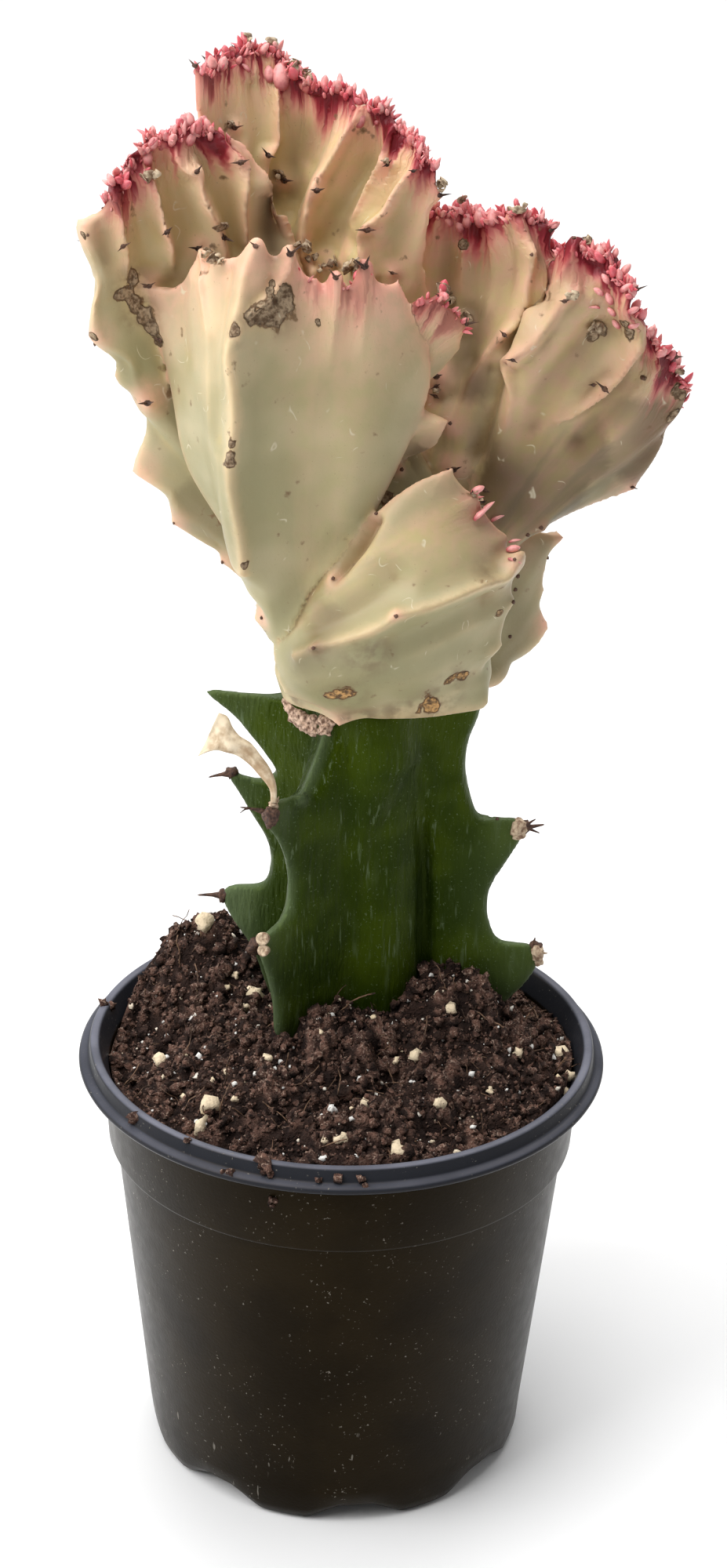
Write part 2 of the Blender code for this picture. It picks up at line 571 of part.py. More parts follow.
def seat(verts, faces, trees, way):
    """Slides points in millimetres along a way until the nearest of them lies GAP off the surface."""
    points = [Vector(v) * MM for v in verts]

    def crosses():
        skin = BVHTree.FromPolygons(points, faces)
        return any(skin.overlap(tree) or within(tree, points[0], way) for tree in trees)

    while crosses():
        points = [point + way * SEAT_STEP * MM for point in points]
    for _ in range(60):
        room = min(nearest(trees, point)[3] for point in points) - GAP * MM
        if room < 1e-5:
            break
        points = [point - way * room for point in points]
    while crosses():
        points = [point + way * SEAT_STEP * MM for point in points]
    return [tuple(point / MM) for point in points]


def first_hit(trees, target, way):
    """Where a line that comes in against a way, through a target in millimetres, first meets a surface."""
    start = Vector(target) * MM + way * REACH_IN * MM
    hits = [tree.ray_cast(start, -way, 3 * REACH_IN * MM) for tree in trees]
    hits = [hit for hit in hits if hit[0] is not None]
    if hits:
        return min(hits, key=lambda hit: hit[3])[0]
    return nearest(trees, Vector(target) * MM)[0]


def ball(subdivisions):
    """Points and faces of a unit ball."""
    model = bmesh.new()
    bmesh.ops.create_icosphere(model, subdivisions=subdivisions, radius=1)
    verts = [vert.co.copy() for vert in model.verts]
    faces = [[v.index for v in face.verts] for face in model.faces]
    model.free()
    return verts, faces


def frame_on(way):
    """Two directions square to a way."""
    side = way.orthogonal().normalized()
    return side, way.cross(side).normalized()


def make_spine_pair(name, target, trees, seed):
    """A small woody shield with two spines that spread apart."""
    spot, normal, _, _ = nearest(trees, Vector(target) * MM)
    way = (normal + Vector((0, -0.5, 0.1))).normalized()
    side, other = frame_on(way)
    turn = SPINE_TURN * seed
    spread = side * math.cos(turn) + other * math.sin(turn)
    cross = way.cross(spread)
    verts, faces = ball(1)
    tips = [max(range(len(verts)), key=lambda k: verts[k].dot(Vector((sign, 0, 0.9)))) for sign in (1, -1)]
    placed = []
    for k, v in enumerate(verts):
        size = SPINE_LENGTH if k in tips else SHIELD_SIZE
        placed.append(tuple(spot / MM + (spread * v.x + cross * v.y + way * v.z) * size + way))
    return make_object(name, seat(placed, faces, trees, way), faces, SPINE_BROWN, 0.6)


def make_bud(name, target, trees):
    """A pink leaf bud, pointed at its top, standing on the margin."""
    way = Vector((0.0, -0.25, 1)).normalized()
    spot = first_hit(trees, target, way)
    side, other = frame_on(way)
    verts, faces = ball(2)
    placed = []
    for v in verts:
        slim = 1.15 * (1 - 0.45 * max(0, v.z))
        placed.append(tuple(spot / MM + side * v.x * slim + other * v.y * slim * 0.7 + way * (v.z * 2 + 2.4)))
    return make_object(name, seat(placed, faces, trees, way), faces, BUD_PINK, 0.4)


def make_lump(name, target, trees, size, seed, colour, way=None):
    """A rough grain or woody stub, seated on what carries it."""
    if way:
        spot = first_hit(trees, target, way)
    else:
        spot, way, _, _ = nearest(trees, Vector(target) * MM)
    verts, faces = ball(2)
    placed = []
    for v in verts:
        rough = size * (1 + 0.3 * noise.noise(v * 1.4 + Vector((seed, 0, 0))))
        placed.append(tuple(spot / MM + v * rough + way * size))
    return make_object(name, seat(placed, faces, trees, way), faces, colour, 0.8)


def make_dried_leaf(trees):
    """The curled papery leaf: a narrow stalk on a tooth, widening to a curved end."""
    fractions = np.linspace(0, 1, 9)
    midline = through(LEAF_PATH, fractions)
    wide = np.interp(fractions, np.linspace(0, 1, len(LEAF_HALF_WIDTHS)), LEAF_HALF_WIDTHS)
    rings = []
    for k, (point, half) in enumerate(zip(midline, wide)):
        along = midline[min(k + 1, 8)] - midline[max(k - 1, 0)]
        along /= np.linalg.norm(along)
        across = np.cross(along, (0.25, -1, 0.1))
        across /= np.linalg.norm(across)
        out = np.cross(across, along)
        ring = []
        for face_sign in (1, -1):
            for s in np.linspace(-face_sign, face_sign, 5):
                curl = LEAF_CURL * half * s * s + face_sign * LEAF_HALF_THICKNESS
                ring.append(point + across * s * half + out * curl)
        rings.append([tuple(p) for p in ring])
    verts, faces = ringed_body(rings)
    way = Vector((-0.3, -0.9, 0.3)).normalized()
    return make_object("dried_leaf", seat(verts, faces, trees, way), faces, LEAF_BEIGE, 0.85)


def build():
    for piece in list(bpy.data.objects):
        bpy.data.objects.remove(piece)
    make_pot()
    soil = make_soil()
    rootstock = make_rootstock()
    callus = make_callus()
    make_object("graft_callus", *callus, CORK_BROWN, 0.9)
    crest = make_crest(callus)
    crest_surface = surface_of(crest)
    for k, target in enumerate(CREST_SPINES):
        make_spine_pair(f"crest_spines_{k + 1:02d}", target, crest_surface, k)
    for k, target in enumerate(LEAF_BUDS):
        make_bud(f"leaf_bud_{k + 1:02d}", target, crest_surface)
    for k, target in enumerate(LEAF_REMAINS):
        make_lump(f"leaf_remains_{k + 1}", target, crest_surface, 1.4, k, LEAF_BEIGE)
    stem_surface = surface_of(rootstock)
    for k, (x, y, z, size) in enumerate(STUBS):
        outward = Vector((x - STEM_X, y - STEM_Y, 0)).normalized()
        make_lump(f"stem_stub_{k + 1}", (x, y, z), stem_surface, size, k + 10, CORK_BROWN, outward)
    stubs = [bpy.data.objects["rootstock"], bpy.data.objects["stem_stub_5"]]
    make_dried_leaf(surface_of(*stubs))
    soil_surface = surface_of(soil)
    draw = random.Random(7)
    for k, target in enumerate(PERLITE):
        size = draw.uniform(1.2, 2.1)
        make_lump(f"perlite_{k + 1}", target, soil_surface, size, k + 30, PERLITE_WHITE, Vector((0, 0, 1)))


build()
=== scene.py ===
"""Potted mermaid tail cactus: the grown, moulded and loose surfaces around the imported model.

Lengths are in millimetres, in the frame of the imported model, and are scaled by MM when a mesh is made.
"""

import math
import random

import bmesh
import bpy
import numpy as np
from mathutils import Matrix, Vector, noise
from mathutils.bvhtree import BVHTree
from mathutils.kdtree import KDTree


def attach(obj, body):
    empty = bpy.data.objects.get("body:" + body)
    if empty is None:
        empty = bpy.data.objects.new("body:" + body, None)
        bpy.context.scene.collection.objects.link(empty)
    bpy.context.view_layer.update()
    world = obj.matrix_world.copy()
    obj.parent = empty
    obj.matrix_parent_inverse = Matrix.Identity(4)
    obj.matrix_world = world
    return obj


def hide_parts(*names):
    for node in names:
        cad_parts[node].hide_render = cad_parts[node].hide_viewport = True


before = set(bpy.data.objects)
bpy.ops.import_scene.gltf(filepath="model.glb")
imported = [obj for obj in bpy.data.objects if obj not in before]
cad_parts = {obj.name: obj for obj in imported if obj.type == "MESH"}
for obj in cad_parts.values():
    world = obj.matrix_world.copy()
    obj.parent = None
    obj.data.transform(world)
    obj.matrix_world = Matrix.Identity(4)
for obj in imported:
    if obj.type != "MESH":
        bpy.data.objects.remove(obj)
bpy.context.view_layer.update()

MM = 0.001
TINY = 1e-9
EVEN_TINT = (0.5, 0.5, 0.0, 1.0)

# Camera, where the photograph was taken from. Places that the photograph shows are given as its pixels.
PHOTO_WIDTH, PHOTO_HEIGHT = 927, 2000
LENS, SENSOR = 68.4, 36.0
AIM = Vector((3.52, 0, 159.06))
DISTANCE = 622.2
SEARCH = (DISTANCE - 130, DISTANCE + 90, 0.8)
LOOK_DOWN = math.radians(25.12)
ROLL = math.radians(1.27)

# Pot
POT_HEIGHT = 99.0
LIP_RADIUS = 57.0
CROWN_RADIUS = 54.6
COLLAR_RADIUS = 51.8
COLLAR_FOOT = 76.4
BODY_TOP_RADIUS = 49.2
BODY_FOOT_RADIUS = 42.4
BASE_RADIUS = 31.0
WALL = 1.3
FEET = 8
FEET_TOP = 8.5
ARCH_HEIGHT = 3.4
FOOT_TURN = math.radians(-105)
DRAIN_RADIUS = 2.8
DRAIN_REACH = 35.0
POT_SIDES = 256

# Green stem
STEM_X, STEM_Y = 5.0, 8.0
STEM_FOOT = 70
STEM_SIDES = 90
STEM_GRID = 0.6
WING_EDGE = 1.15
WING_FLANK = 7.2
CREASE_WIDE = 4.0
CREASE_DEEP = 1.7
GRAFT_HEIGHT = 177.8
CALLUS_GRID = 0.3
CALLUS_LUMPS = 70

# Soil
SOIL_AT_RIM = 95.5
SOIL_HEAP = 10
SOIL_EDGE = 50.8
SOIL_SIDES = 400
SOIL_STEP = 0.62
SOIL_WALL = ((31, 4.3), (38, 7.5), (41.2, 12), (47.5, 75), (49.6, 88), (50.1, 93.5))
CRUMBS, CRUMB_SIZES = 3300, (0.35, 0.4, 0.5, 0.6, 0.7, 0.9, 1.2)
GRAINS, GRAIN_SIZES = 8500, (0.18, 0.22, 0.26, 0.32, 0.4)
PERLITE_BITS, PERLITE_SIZES = 560, (0.15, 0.2, 0.25, 0.3, 0.4, 0.55, 0.7)
FIBRES, FIBRE_SIZES = 420, (0.5, 0.8, 1.1, 1.5)
SOIL_BUMPS = ((24, 2, 14, 10), (-32, 25, 15.5, 10), (-3, -8, 8, 7), (-18, -30, 3, 9), (36, -18, 4, 12),
              (10, -36, 4, 12), (-6, 34, 4, 14), (36, 18, -3, 10), (-42, 2, -4, 9), (0, -52, 3, 10),
              (-30, -8, 2, 8), (1.4, -33, -6, 4), (11, -22, -5, 3.5), (-20, -42, -3, 4))

# The crest is a set of fans. Each fan is a set of ribs that run from its foot to its growing margin.
FRONT_FAN = [
    [(-12, 0, 193), (-23, 2, 212), (-33, 3, 228), (-36, 4, 242), (-41, 5, 263)],
    [(-12, -1, 194), (-22, -5, 221), (-27, -7, 236), (-30, -5, 255), (-30, -2, 272)],
    [(-12, -3, 195), (-21, -11, 215), (-23, -16, 239), (-23, -16, 255), (-19, -11, 276)],
    [(-10, -5, 198), (-16, -12, 238), (-14, -11, 260), (-13, -9, 274)],
    [(-9, -5, 199), (-8, -9, 237), (-4, -7, 269)],
    [(-6, -5, 200), (0, -8, 237), (2, -5, 270)],
    [(-3, -4, 201), (3, -4, 218), (9, -2, 230), (15, 0, 248), (8, 2, 267)],
]
LEFT_FAN = [
    [(-11, 3, 196), (-21, 4, 202), (-25, 4, 207)],
    [(-12, 4, 198), (-26, 6, 208), (-35, 7, 214)],
    [(-13, 5, 201), (-29, 8, 216), (-44, 9, 224)],
    [(-14, 6, 204), (-30, 9, 223), (-42, 10, 237)],
    [(-14, 7, 207), (-34, 8, 231), (-51, 1, 252)],
    [(-14, 8, 209), (-37, 8, 241), (-50, 0, 262), (-53, -3, 277)],
    [(-15, 8, 212), (-33, 10, 243), (-45, 4, 266), (-46, 0, 286)],
    [(-15, 8, 215), (-26, 11, 243), (-36, 8, 266), (-40, 4, 293)],
    [(-15, 9, 218), (-22, 12, 245), (-27, 9, 273), (-33, 7, 296)],
    [(-15, 10, 221), (-16, 13, 245), (-19, 11, 269), (-22, 10, 282), (-29, 9, 294)],
    [(-14, 10, 224), (-8, 13, 253), (-12, 12, 269), (-16, 11, 281), (-25, 11, 293)],
]
TOP_FAN = [
    [(-10, 14, 219), (-16, 15, 250), (-24, 13, 276), (-31, 11, 293), (-32, 10, 305)],
    [(-9, 15, 220), (-14, 16, 250), (-21, 17, 278), (-27, 17, 297), (-27, 18, 306)],
    [(-8, 16, 221), (-12, 18, 250), (-18, 20, 276), (-21, 22, 296), (-23, 25, 307)],
    [(-7, 16, 222), (-10, 19, 251), (-17, 22, 285), (-17, 26, 306)],
    [(-5, 16, 223), (-8, 19, 254), (-12, 22, 285), (-12, 23, 302)],
    [(-3, 16, 224), (-9, 18, 255), (-10, 18, 275), (-6, 19, 284), (-3, 19, 300)],
    [(-1, 15, 226), (-4, 17, 255), (-1, 16, 275), (6, 15, 287), (5, 16, 297)],
    [(2, 13, 227), (3, 13, 251), (3, 10, 270), (8, 9, 283), (12, 10, 292)],
    [(6, 13, 229), (15, 13, 250), (13, 9, 269), (14, 7, 278), (15, 5, 288)],
]
RIGHT_FAN = [
    [(12, 12, 216), (14, 15, 243), (11, 18, 266), (13, 20, 277)],
    [(14, 12, 215), (19, 16, 243), (21, 18, 263), (21, 20, 277)],
    [(15, 12, 214), (23, 14, 242), (26, 16, 266), (26, 17, 277)],
    [(18, 12, 213), (24, 12, 231), (29, 9, 253), (34, 9, 267), (31, 10, 279)],
    [(19, 12, 212), (28, 12, 231), (34, 12, 254), (37, 11, 269), (36, 11, 278)],
    [(21, 12, 211), (30, 13, 231), (37, 14, 252), (40, 15, 270)],
    [(23, 12, 210), (31, 8, 236), (36, 2, 256), (41, 1, 263), (43, 4, 274)],
    [(24, 12, 209), (36, 8, 233), (45, 5, 252), (50, 1, 266), (48, 1, 273)],
    [(26, 12, 208), (39, 9, 231), (50, 7, 245), (55, 1, 257), (54, -1, 267)],
    [(27, 12, 207), (43, 10, 227), (55, 9, 239), (60, 5, 254)],
    [(29, 12, 207), (46, 12, 223), (60, 12, 235), (66, 11, 244)],
    [(29, 12, 206), (46, 13, 220), (63, 15, 231)],
    [(30, 12, 205), (40, 13, 213), (58, 16, 220)],
]
LOW_FAN = [
    [(-10, -4, 194), (-4, -7, 207), (3, -8, 220), (12, -7, 228), (20, -5, 231)],
    [(-11, -5, 193), (0, -11, 210), (14, -10, 220), (25, -4, 225)],
    [(-11, -5, 192), (-1, -14, 204), (17, -13, 214), (31, -3, 216)],
    [(-12, -5, 190), (-6, -13, 195), (9, -17, 204), (24, -13, 208), (33, -4, 211)],
    [(-12, -5, 188), (-6, -13, 191), (10, -14, 196), (24, -9, 200), (33, -3, 203)],
    [(-12, -5, 186), (-4, -10, 186), (12, -11, 189), (31, -3, 193)],
    [(-11, -4, 182), (-2, -7, 180), (12, -7, 181), (26, -2, 184)],
]
LOW_RIGHT_FAN = [
    [(19, 6, 178), (25, 10, 191), (31, 12, 204), (35, 14, 210)],
    [(21, 6, 178), (29, 12, 190), (36, 15, 201), (41, 18, 209)],
    [(22, 6, 178), (32, 13, 186), (40, 19, 197)],
    [(23, 6, 178), (34, 13, 183), (41, 18, 188)],
    [(24, 6, 178), (31, 10, 178), (35, 15, 182)],
]
REAR_FAN = [
    [(-8, 10, 205), (-22, 21, 225), (-36, 27, 246)],
    [(-4, 11, 208), (-15, 26, 233), (-25, 39, 258)],
    [(2, 12, 210), (-4, 27, 237), (-8, 36, 265)],
    [(8, 12, 210), (8, 31, 237), (9, 46, 261)],
    [(14, 12, 209), (20, 27, 235), (26, 37, 263)],
    [(18, 11, 206), (31, 25, 226), (43, 37, 249)],
    [(20, 10, 203), (34, 19, 213), (50, 23, 229)],
]
KNOB_FAN = [
    [(5, 2, 245), (9, 2, 257), (12, 1, 264)],
    [(7, 2, 244), (13, 2, 257), (17, 1, 265)],
    [(8, 2, 243), (15, 3, 253), (22, 3, 258)],
    [(8, 3, 241), (14, 5, 248), (21, 6, 253)],
    [(7, 4, 239), (13, 6, 244), (17, 8, 247)],
]
NUB_FAN = [
    [(3, 2, 233), (10, 1, 238), (13, 1, 242)],
    [(3, 2, 231), (12, 0, 238), (19, 0, 239)],
    [(3, 3, 229), (11, 3, 233), (17, 3, 233)],
    [(4, 4, 227), (9, 5, 229), (10, 5, 229)],
]
# Each fan: its ribs, half thickness at the foot and at the margin, dip of the margin between ribs, how red the
# margin is at each rib, and how far the margin waves in and out.
FANS = (
    (FRONT_FAN, 5.0, 2.0, 0.03, (0.08, 0.1, 0.28, 0.5, 0.62, 0.6, 0.25), 0.4),
    (LEFT_FAN, 4.6, 1.9, 0.025, (0.1, 0.1, 0.1, 0.1, 0.1, 0.2, 0.9, 1, 1, 0.9, 0.5), 0.8),
    (TOP_FAN, 4.6, 2.0, 0.02, (0.7, 0.9, 1, 1, 1, 1, 1, 1, 0.9), 0.8),
    (RIGHT_FAN, 4.8, 2.0, 0.02, (0.9, 1, 1, 1, 1, 1, 1, 1, 1, 1, 0.8, 0.2, 0.1), 0.9),
    (LOW_FAN, 4.6, 2.0, 0.03, (0.15, 0.6, 0.5, 0.3, 0.15, 0.1, 0.1), 0.0),
    (LOW_RIGHT_FAN, 3.4, 1.6, 0.06, (0.35, 0.3, 0.2, 0.1, 0.1), 0.3),
    (REAR_FAN, 4.8, 2.0, 0.03, (0.3, 0.9, 1, 1, 1, 0.9, 0.3), 1.6),
    (KNOB_FAN, 2.6, 1.4, 0.08, (0.7, 0.7, 0.6, 0.3, 0.2), 0.1),
    (NUB_FAN, 3.0, 1.2, 0.06, (0.45, 0.5, 0.4, 0.3), 0.1),
)
# The crest's base: height, centre x and y, half width and half depth of each ring.
NECK = ((174, 7.5, 2, 19.5, 10), (179, 7, 2, 21, 11.5), (184, 7, 2, 22.5, 13), (192, 7.5, 2.5, 21, 13),
        (201, 6.5, 3, 19, 12.5), (211, 4, 5, 16.5, 11.5), (222, 2, 8, 15, 9.5), (231, 0, 10, 12, 7),
        (237, 0, 12, 7, 4))
FAN_ROWS = 90
RIB_COLUMNS = 12
VALLEY_PINCH = 0.12
SKIN_GRID = 0.62
SKIN_SHARE = 0.57
NECK_SIDES = 72
SIDE_SCALE = 40
BUDS_PER_MM = 5.5
# Fans by their number, and -1 for the base: which are calm, which are pleated behind, which is painted darker as shade.
BASE, FRONT, REAR = -1, 0, 6
CALM_FANS = (0, 4)
CALM_PASSES = 70
PLEATED_FANS = (1, 2, 3, 6)
PLEAT_HEIGHT = 1.9
SHADED_FAN = 3
SHADED_SHARE = 0.3
# The zone behind where the base runs into the rear lobe: its limits in depth and in height.
ZONE_DEPTH, ZONE_FOOT, ZONE_TOP = (4, 9), (182, 190), (-236, -220)
ZONE_PASSES = 120
RED_PASSES = 80

# Ridges of the crest as the photograph shows them: pixels along each from the margin down, its heights from
# start to end, its half width and how rosy it is.
# Each ridge also gets painted highlight along it; the last four, of no height, only paint highlight and flush.
RIDGES = (
    ([(326, 318), (315, 350), (308, 390), (300, 425), (294, 455), (297, 490), (299, 530), (296, 575),
      (297, 615), (302, 650), (309, 690), (313, 725)], (1.4, 3.0, 3.2, 3.0, 2.4), 6.0, 0.08),
    ([(253, 320), (257, 345), (262, 385), (266, 430)], (2.0, 0.4), 3.5, 0.9),
    ([(326, 316), (318, 345), (311, 375)], (0.4, 0.1), 4.5, 0.9),
    ([(370, 328), (360, 352), (345, 378), (322, 398), (303, 418)], (3.2, 2.6, 1.8), 3.5, 0.8),
    ([(400, 348), (402, 372), (404, 400)], (1.4, 0.2), 2.5, 0.4),
    ([(428, 357), (426, 385), (424, 420), (420, 470)], (2.0, 0.2), 3.5, 0.4),
    ([(465, 343), (463, 370), (462, 410), (460, 450)], (2.2, 0.2), 3.5, 0.4),
    ([(655, 716), (640, 733), (602, 749), (552, 769), (505, 785), (480, 799), (440, 814), (400, 826),
      (380, 836)], (3.2, 3.0, 2.8, 1.6), 5.0, 0.1),
    ([(152, 240), (150, 270), (152, 295), (157, 314), (161, 350)], (3.0, 2.8, 0.8), 4.0, 0.7),
    ([(190, 232), (197, 258), (205, 280), (213, 296), (221, 335)], (3.2, 4.0, 1.8), 4.5, 0.6),
    ([(226, 200), (236, 215), (251, 222), (257, 240), (266, 262), (281, 290), (290, 325)],
     (3.2, 4.2, 2.4), 4.5, 0.6),
    ([(278, 182), (292, 198), (307, 208), (311, 230), (313, 275), (315, 310)], (3.0, 3.8, 1.6), 4.5, 0.7),
    ([(357, 118), (353, 150), (350, 188), (342, 198), (340, 225)], (2.8, 3.4, 1.0), 4.0, 0.7),
    ([(458, 152), (441, 177), (421, 214), (404, 243), (396, 270), (388, 325)], (3.0, 4.0, 2.0), 4.5, 0.9),
    ([(500, 167), (497, 190), (494, 212), (471, 245), (446, 282)], (2.8, 3.0, 1.0), 4.0, 0.8),
    ([(534, 214), (512, 238), (491, 275), (470, 292), (468, 330), (477, 350)], (2.8, 4.2, 4.0, 1.8), 4.5, 0.7),
    ([(592, 322), (590, 350), (588, 380)], (1.5, 0.3), 3.0, 0.3),
    ([(625, 282), (628, 322), (627, 350)], (1.6, 0.3), 3.0, 0.4),
    ([(664, 287), (678, 325), (673, 360), (665, 395), (655, 415), (643, 427), (620, 455), (600, 490),
      (590, 520)], (1.6, 2.0, 2.2, 1.8, 0.4), 4.0, 0.8),
    ([(735, 312), (722, 345), (700, 375)], (2.0, 0.3), 3.5, 0.7),
    ([(738, 372), (720, 387), (710, 402), (690, 430), (672, 448), (654, 460), (655, 500), (650, 530),
      (640, 560)], (1.6, 2.4, 3.0, 1.8, 0.3), 4.0, 0.7),
    ([(815, 440), (805, 460), (790, 482), (773, 497), (740, 520), (712, 536)], (2.6, 3.2, 1.4), 4.0, 0.9),
    ([(840, 467), (822, 490), (805, 510)], (1.6, 0.2), 3.0, 0.6),
    ([(262, 100), (268, 140), (284, 190)], (0.0, 0.0), 10.0, 0.55),
    ([(322, 110), (334, 150)], (0.0, 0.0), 6.0, 0.5),
    ([(858, 500), (846, 550), (806, 604)], (0.0, 0.0), 9.0, 0.55),
    ([(800, 440), (780, 480), (750, 520)], (0.0, 0.0), 8.0, 0.5),
)
# Hollows between the ridges, in the same way: pixels, depths, half width and how dark they are painted as shade.
HOLLOWS = (
    ([(130, 262), (134, 320), (140, 380)], (0.9, 0.6), 4.0, 0.0),
    ([(170, 212), (177, 265), (188, 335)], (2.2, 1.6), 4.5, 0.7),
    ([(208, 200), (226, 255), (246, 305), (254, 335)], (2.4, 1.8), 4.5, 0.8),
    ([(252, 182), (276, 225), (293, 270), (301, 315)], (2.2, 1.8), 4.5, 0.6),
    ([(280, 95), (292, 150), (300, 195)], (0.8, 0.5), 4.5, 0.0),
    ([(324, 112), (331, 170), (326, 220)], (1.0, 0.7), 3.0, 0.4),
    ([(388, 122), (380, 180), (366, 240), (354, 295)], (3.0, 2.4), 6.5, 0.9),
    ([(430, 132), (412, 168), (396, 205)], (1.6, 0.8), 3.5, 0.5),
    ([(478, 162), (470, 200), (442, 255), (414, 310)], (2.4, 2.0), 5.0, 0.8),
    ([(518, 188), (506, 222), (478, 268), (452, 312)], (2.2, 1.8), 4.0, 0.8),
    ([(546, 222), (528, 262), (508, 305), (504, 350)], (1.4, 1.2), 4.5, 0.2),
    ([(574, 300), (570, 350), (574, 400)], (1.6, 0.8), 4.5, 0.3),
    ([(608, 300), (608, 350), (596, 420)], (1.2, 0.8), 5.0, 0.2),
    ([(646, 300), (651, 350), (634, 405), (604, 455)], (1.3, 1.0), 4.5, 0.5),
    ([(696, 352), (693, 368), (686, 395), (668, 432)], (-1.5, -3.0, -1.5), 5.0, 0.0),
    ([(622, 478), (612, 520), (612, 570)], (1.8, 1.2), 5.0, 0.5),
    ([(758, 340), (742, 362)], (1.4, 0.8), 3.5, 0.4),
    ([(764, 425), (738, 455), (702, 500), (684, 545)], (2.0, 1.4), 6.0, 0.4),
    ([(826, 462), (800, 492), (770, 525), (740, 560)], (1.8, 1.4), 5.0, 0.5),
    ([(222, 345), (226, 400), (236, 450)], (1.2, 0.8), 5.5, 0.0),
    ([(285, 350), (280, 400), (276, 470), (280, 560)], (1.6, 1.2), 4.5, 0.1),
    ([(350, 360), (346, 374)], (1.5, 1.0), 2.5, 0.3),
    ([(620, 770), (560, 800), (500, 822)], (1.8, 1.2), 6.0, 0.1),
    ([(478, 664), (462, 692), (444, 716), (427, 737)], (2.6, 2.6, 1.6), 2.2, 0.8),
    ([(440, 690), (400, 740)], (0.8, 0.3), 5, 0.2),
    ([(500, 740), (450, 780), (400, 806)], (1.6, 1.4), 6, 0.25),
)
# Skin in the shadow of other lobes, painted darker as cast shadow: pixels along it, half width and strength.
SHADOWED_PARTS = (
    ([(600, 600), (680, 630), (760, 630)], 28, 1.0), ([(855, 500), (835, 560), (790, 620)], 19, 0.9),
    ([(640, 590), (720, 600), (790, 580)], 18, 0.9), ([(400, 150), (385, 200), (365, 260)], 5, 0.45),
    ([(482, 195), (455, 250), (430, 310)], 5, 0.45),
    ([(620, 380), (600, 440), (610, 520)], 9, 0.8), ([(740, 430), (700, 480), (670, 530)], 7, 0.4),
    ([(650, 740), (660, 800), (630, 870)], 8, 0.4), ([(425, 765), (405, 820), (370, 860)], 8, 0.5),
    ([(225, 620), (290, 690)], 9, 0.5), ([(520, 590), (545, 570)], 6, 0.6),
    ([(352, 230), (341, 275), (350, 335)], 5, 0.9), ([(130, 290), (136, 340)], 3, 0.3),
)
# Folds of the margin: the pixel where the skin is, the pixel that it is drawn to, and the half width.
FOLDS = (
    (712, 296, 704, 326, 4.5), (738, 300, 730, 316, 3.0), (815, 375, 792, 392, 4.5), (846, 420, 824, 430, 4.0),
    (622, 268, 620, 284, 4.5), (678, 268, 676, 276, 2.5), (183, 218, 166, 200, 4.0), (99, 365, 119, 365, 9.0),
    (103, 345, 116, 345, 7.0), (147, 472, 156, 468, 6.0), (132, 470, 147, 466, 6.0), (195, 628, 218, 631, 6.0),
    (260, 704, 282, 704, 6.0), (318, 758, 330, 756, 6.0), (322, 782, 333, 776, 4.0), (158, 505, 168, 500, 4.0),
    (666, 854, 650, 846, 5.0), (606, 896, 622, 897, 4.0), (680, 693, 686, 678, 5.0), (225, 170, 225, 178, 8.0),
    (525, 165, 515, 172, 9.0), (255, 338, 254, 314, 2.0), (367, 344, 371, 320, 2.0), (326, 330, 326, 312, 3.0),
    (190, 376, 186, 364, 3.0), (466, 356, 466, 340, 1.8), (429, 366, 429, 352, 1.6),
)
# Teeth and spurs: the pixel of the tip, how far one that doesn't show in outline stands out, its half width.
TEETH = (
    (190, 365, 1.5, 4.5), (254, 315, 1.5, 3.6), (326, 312, 1.5, 5.5), (369, 322, 1.5, 3.8), (400, 344, 1.0, 2.0),
    (428, 354, 1.0, 2.0), (465, 339, 1.2, 2.5), (500, 347, 1.5, 3.5), (190, 512, 2.0, 6.0), (557, 479, 2.0, 5.0),
    (425, 738, 1.5, 3.0), (101, 283, 2.0, 8.0), (116, 428, 1.5, 6.0), (157, 314, 1.2, 2.5), (213, 296, 2.0, 3.0),
    (251, 219, 2.2, 3.5), (307, 207, 2.2, 3.5), (299, 163, 1.5, 2.5), (362, 230, 2.0, 4.0), (248, 84, 1.5, 3.0),
    (265, 78, 1.5, 3.0), (342, 198, 2.0, 2.5), (404, 243, 2.2, 3.0), (494, 210, 1.8, 2.5), (471, 293, 2.4, 4.0),
    (527, 218, 1.0, 2.0), (562, 250, 1.2, 3.0), (678, 325, 2.0, 3.0), (643, 427, 1.8, 3.0), (655, 459, 2.0, 3.5),
    (728, 304, 1.2, 2.5), (720, 385, 1.5, 2.5), (773, 496, 1.8, 3.0), (660, 268, 1.2, 2.5), (702, 293, 1.2, 3.0),
    (745, 311, 1.2, 2.5), (812, 367, 1.5, 3.0), (862, 450, 1.2, 3.0), (871, 492, 1.2, 4.0), (806, 622, 1.5, 7.0),
    (578, 598, 1.8, 4.5), (505, 785, 1.5, 2.5), (400, 826, 1.4, 2.5), (656, 714, 1.5, 4.0), (716, 686, 1.5, 3.5),
    (695, 795, 1.5, 5.0), (172, 600, 1.5, 7.0), (222, 666, 1.5, 5.0), (284, 716, 1.5, 3.5), (333, 787, 1.5, 3.5),
    (595, 413, 1.5, 3.0), (576, 540, 3.0, 5.5), (433, 923, 1.2, 5.0), (690, 672, 1.2, 3.0), (300, 425, 1.6, 2.4),
    (508, 598, 1.2, 2.5),
)
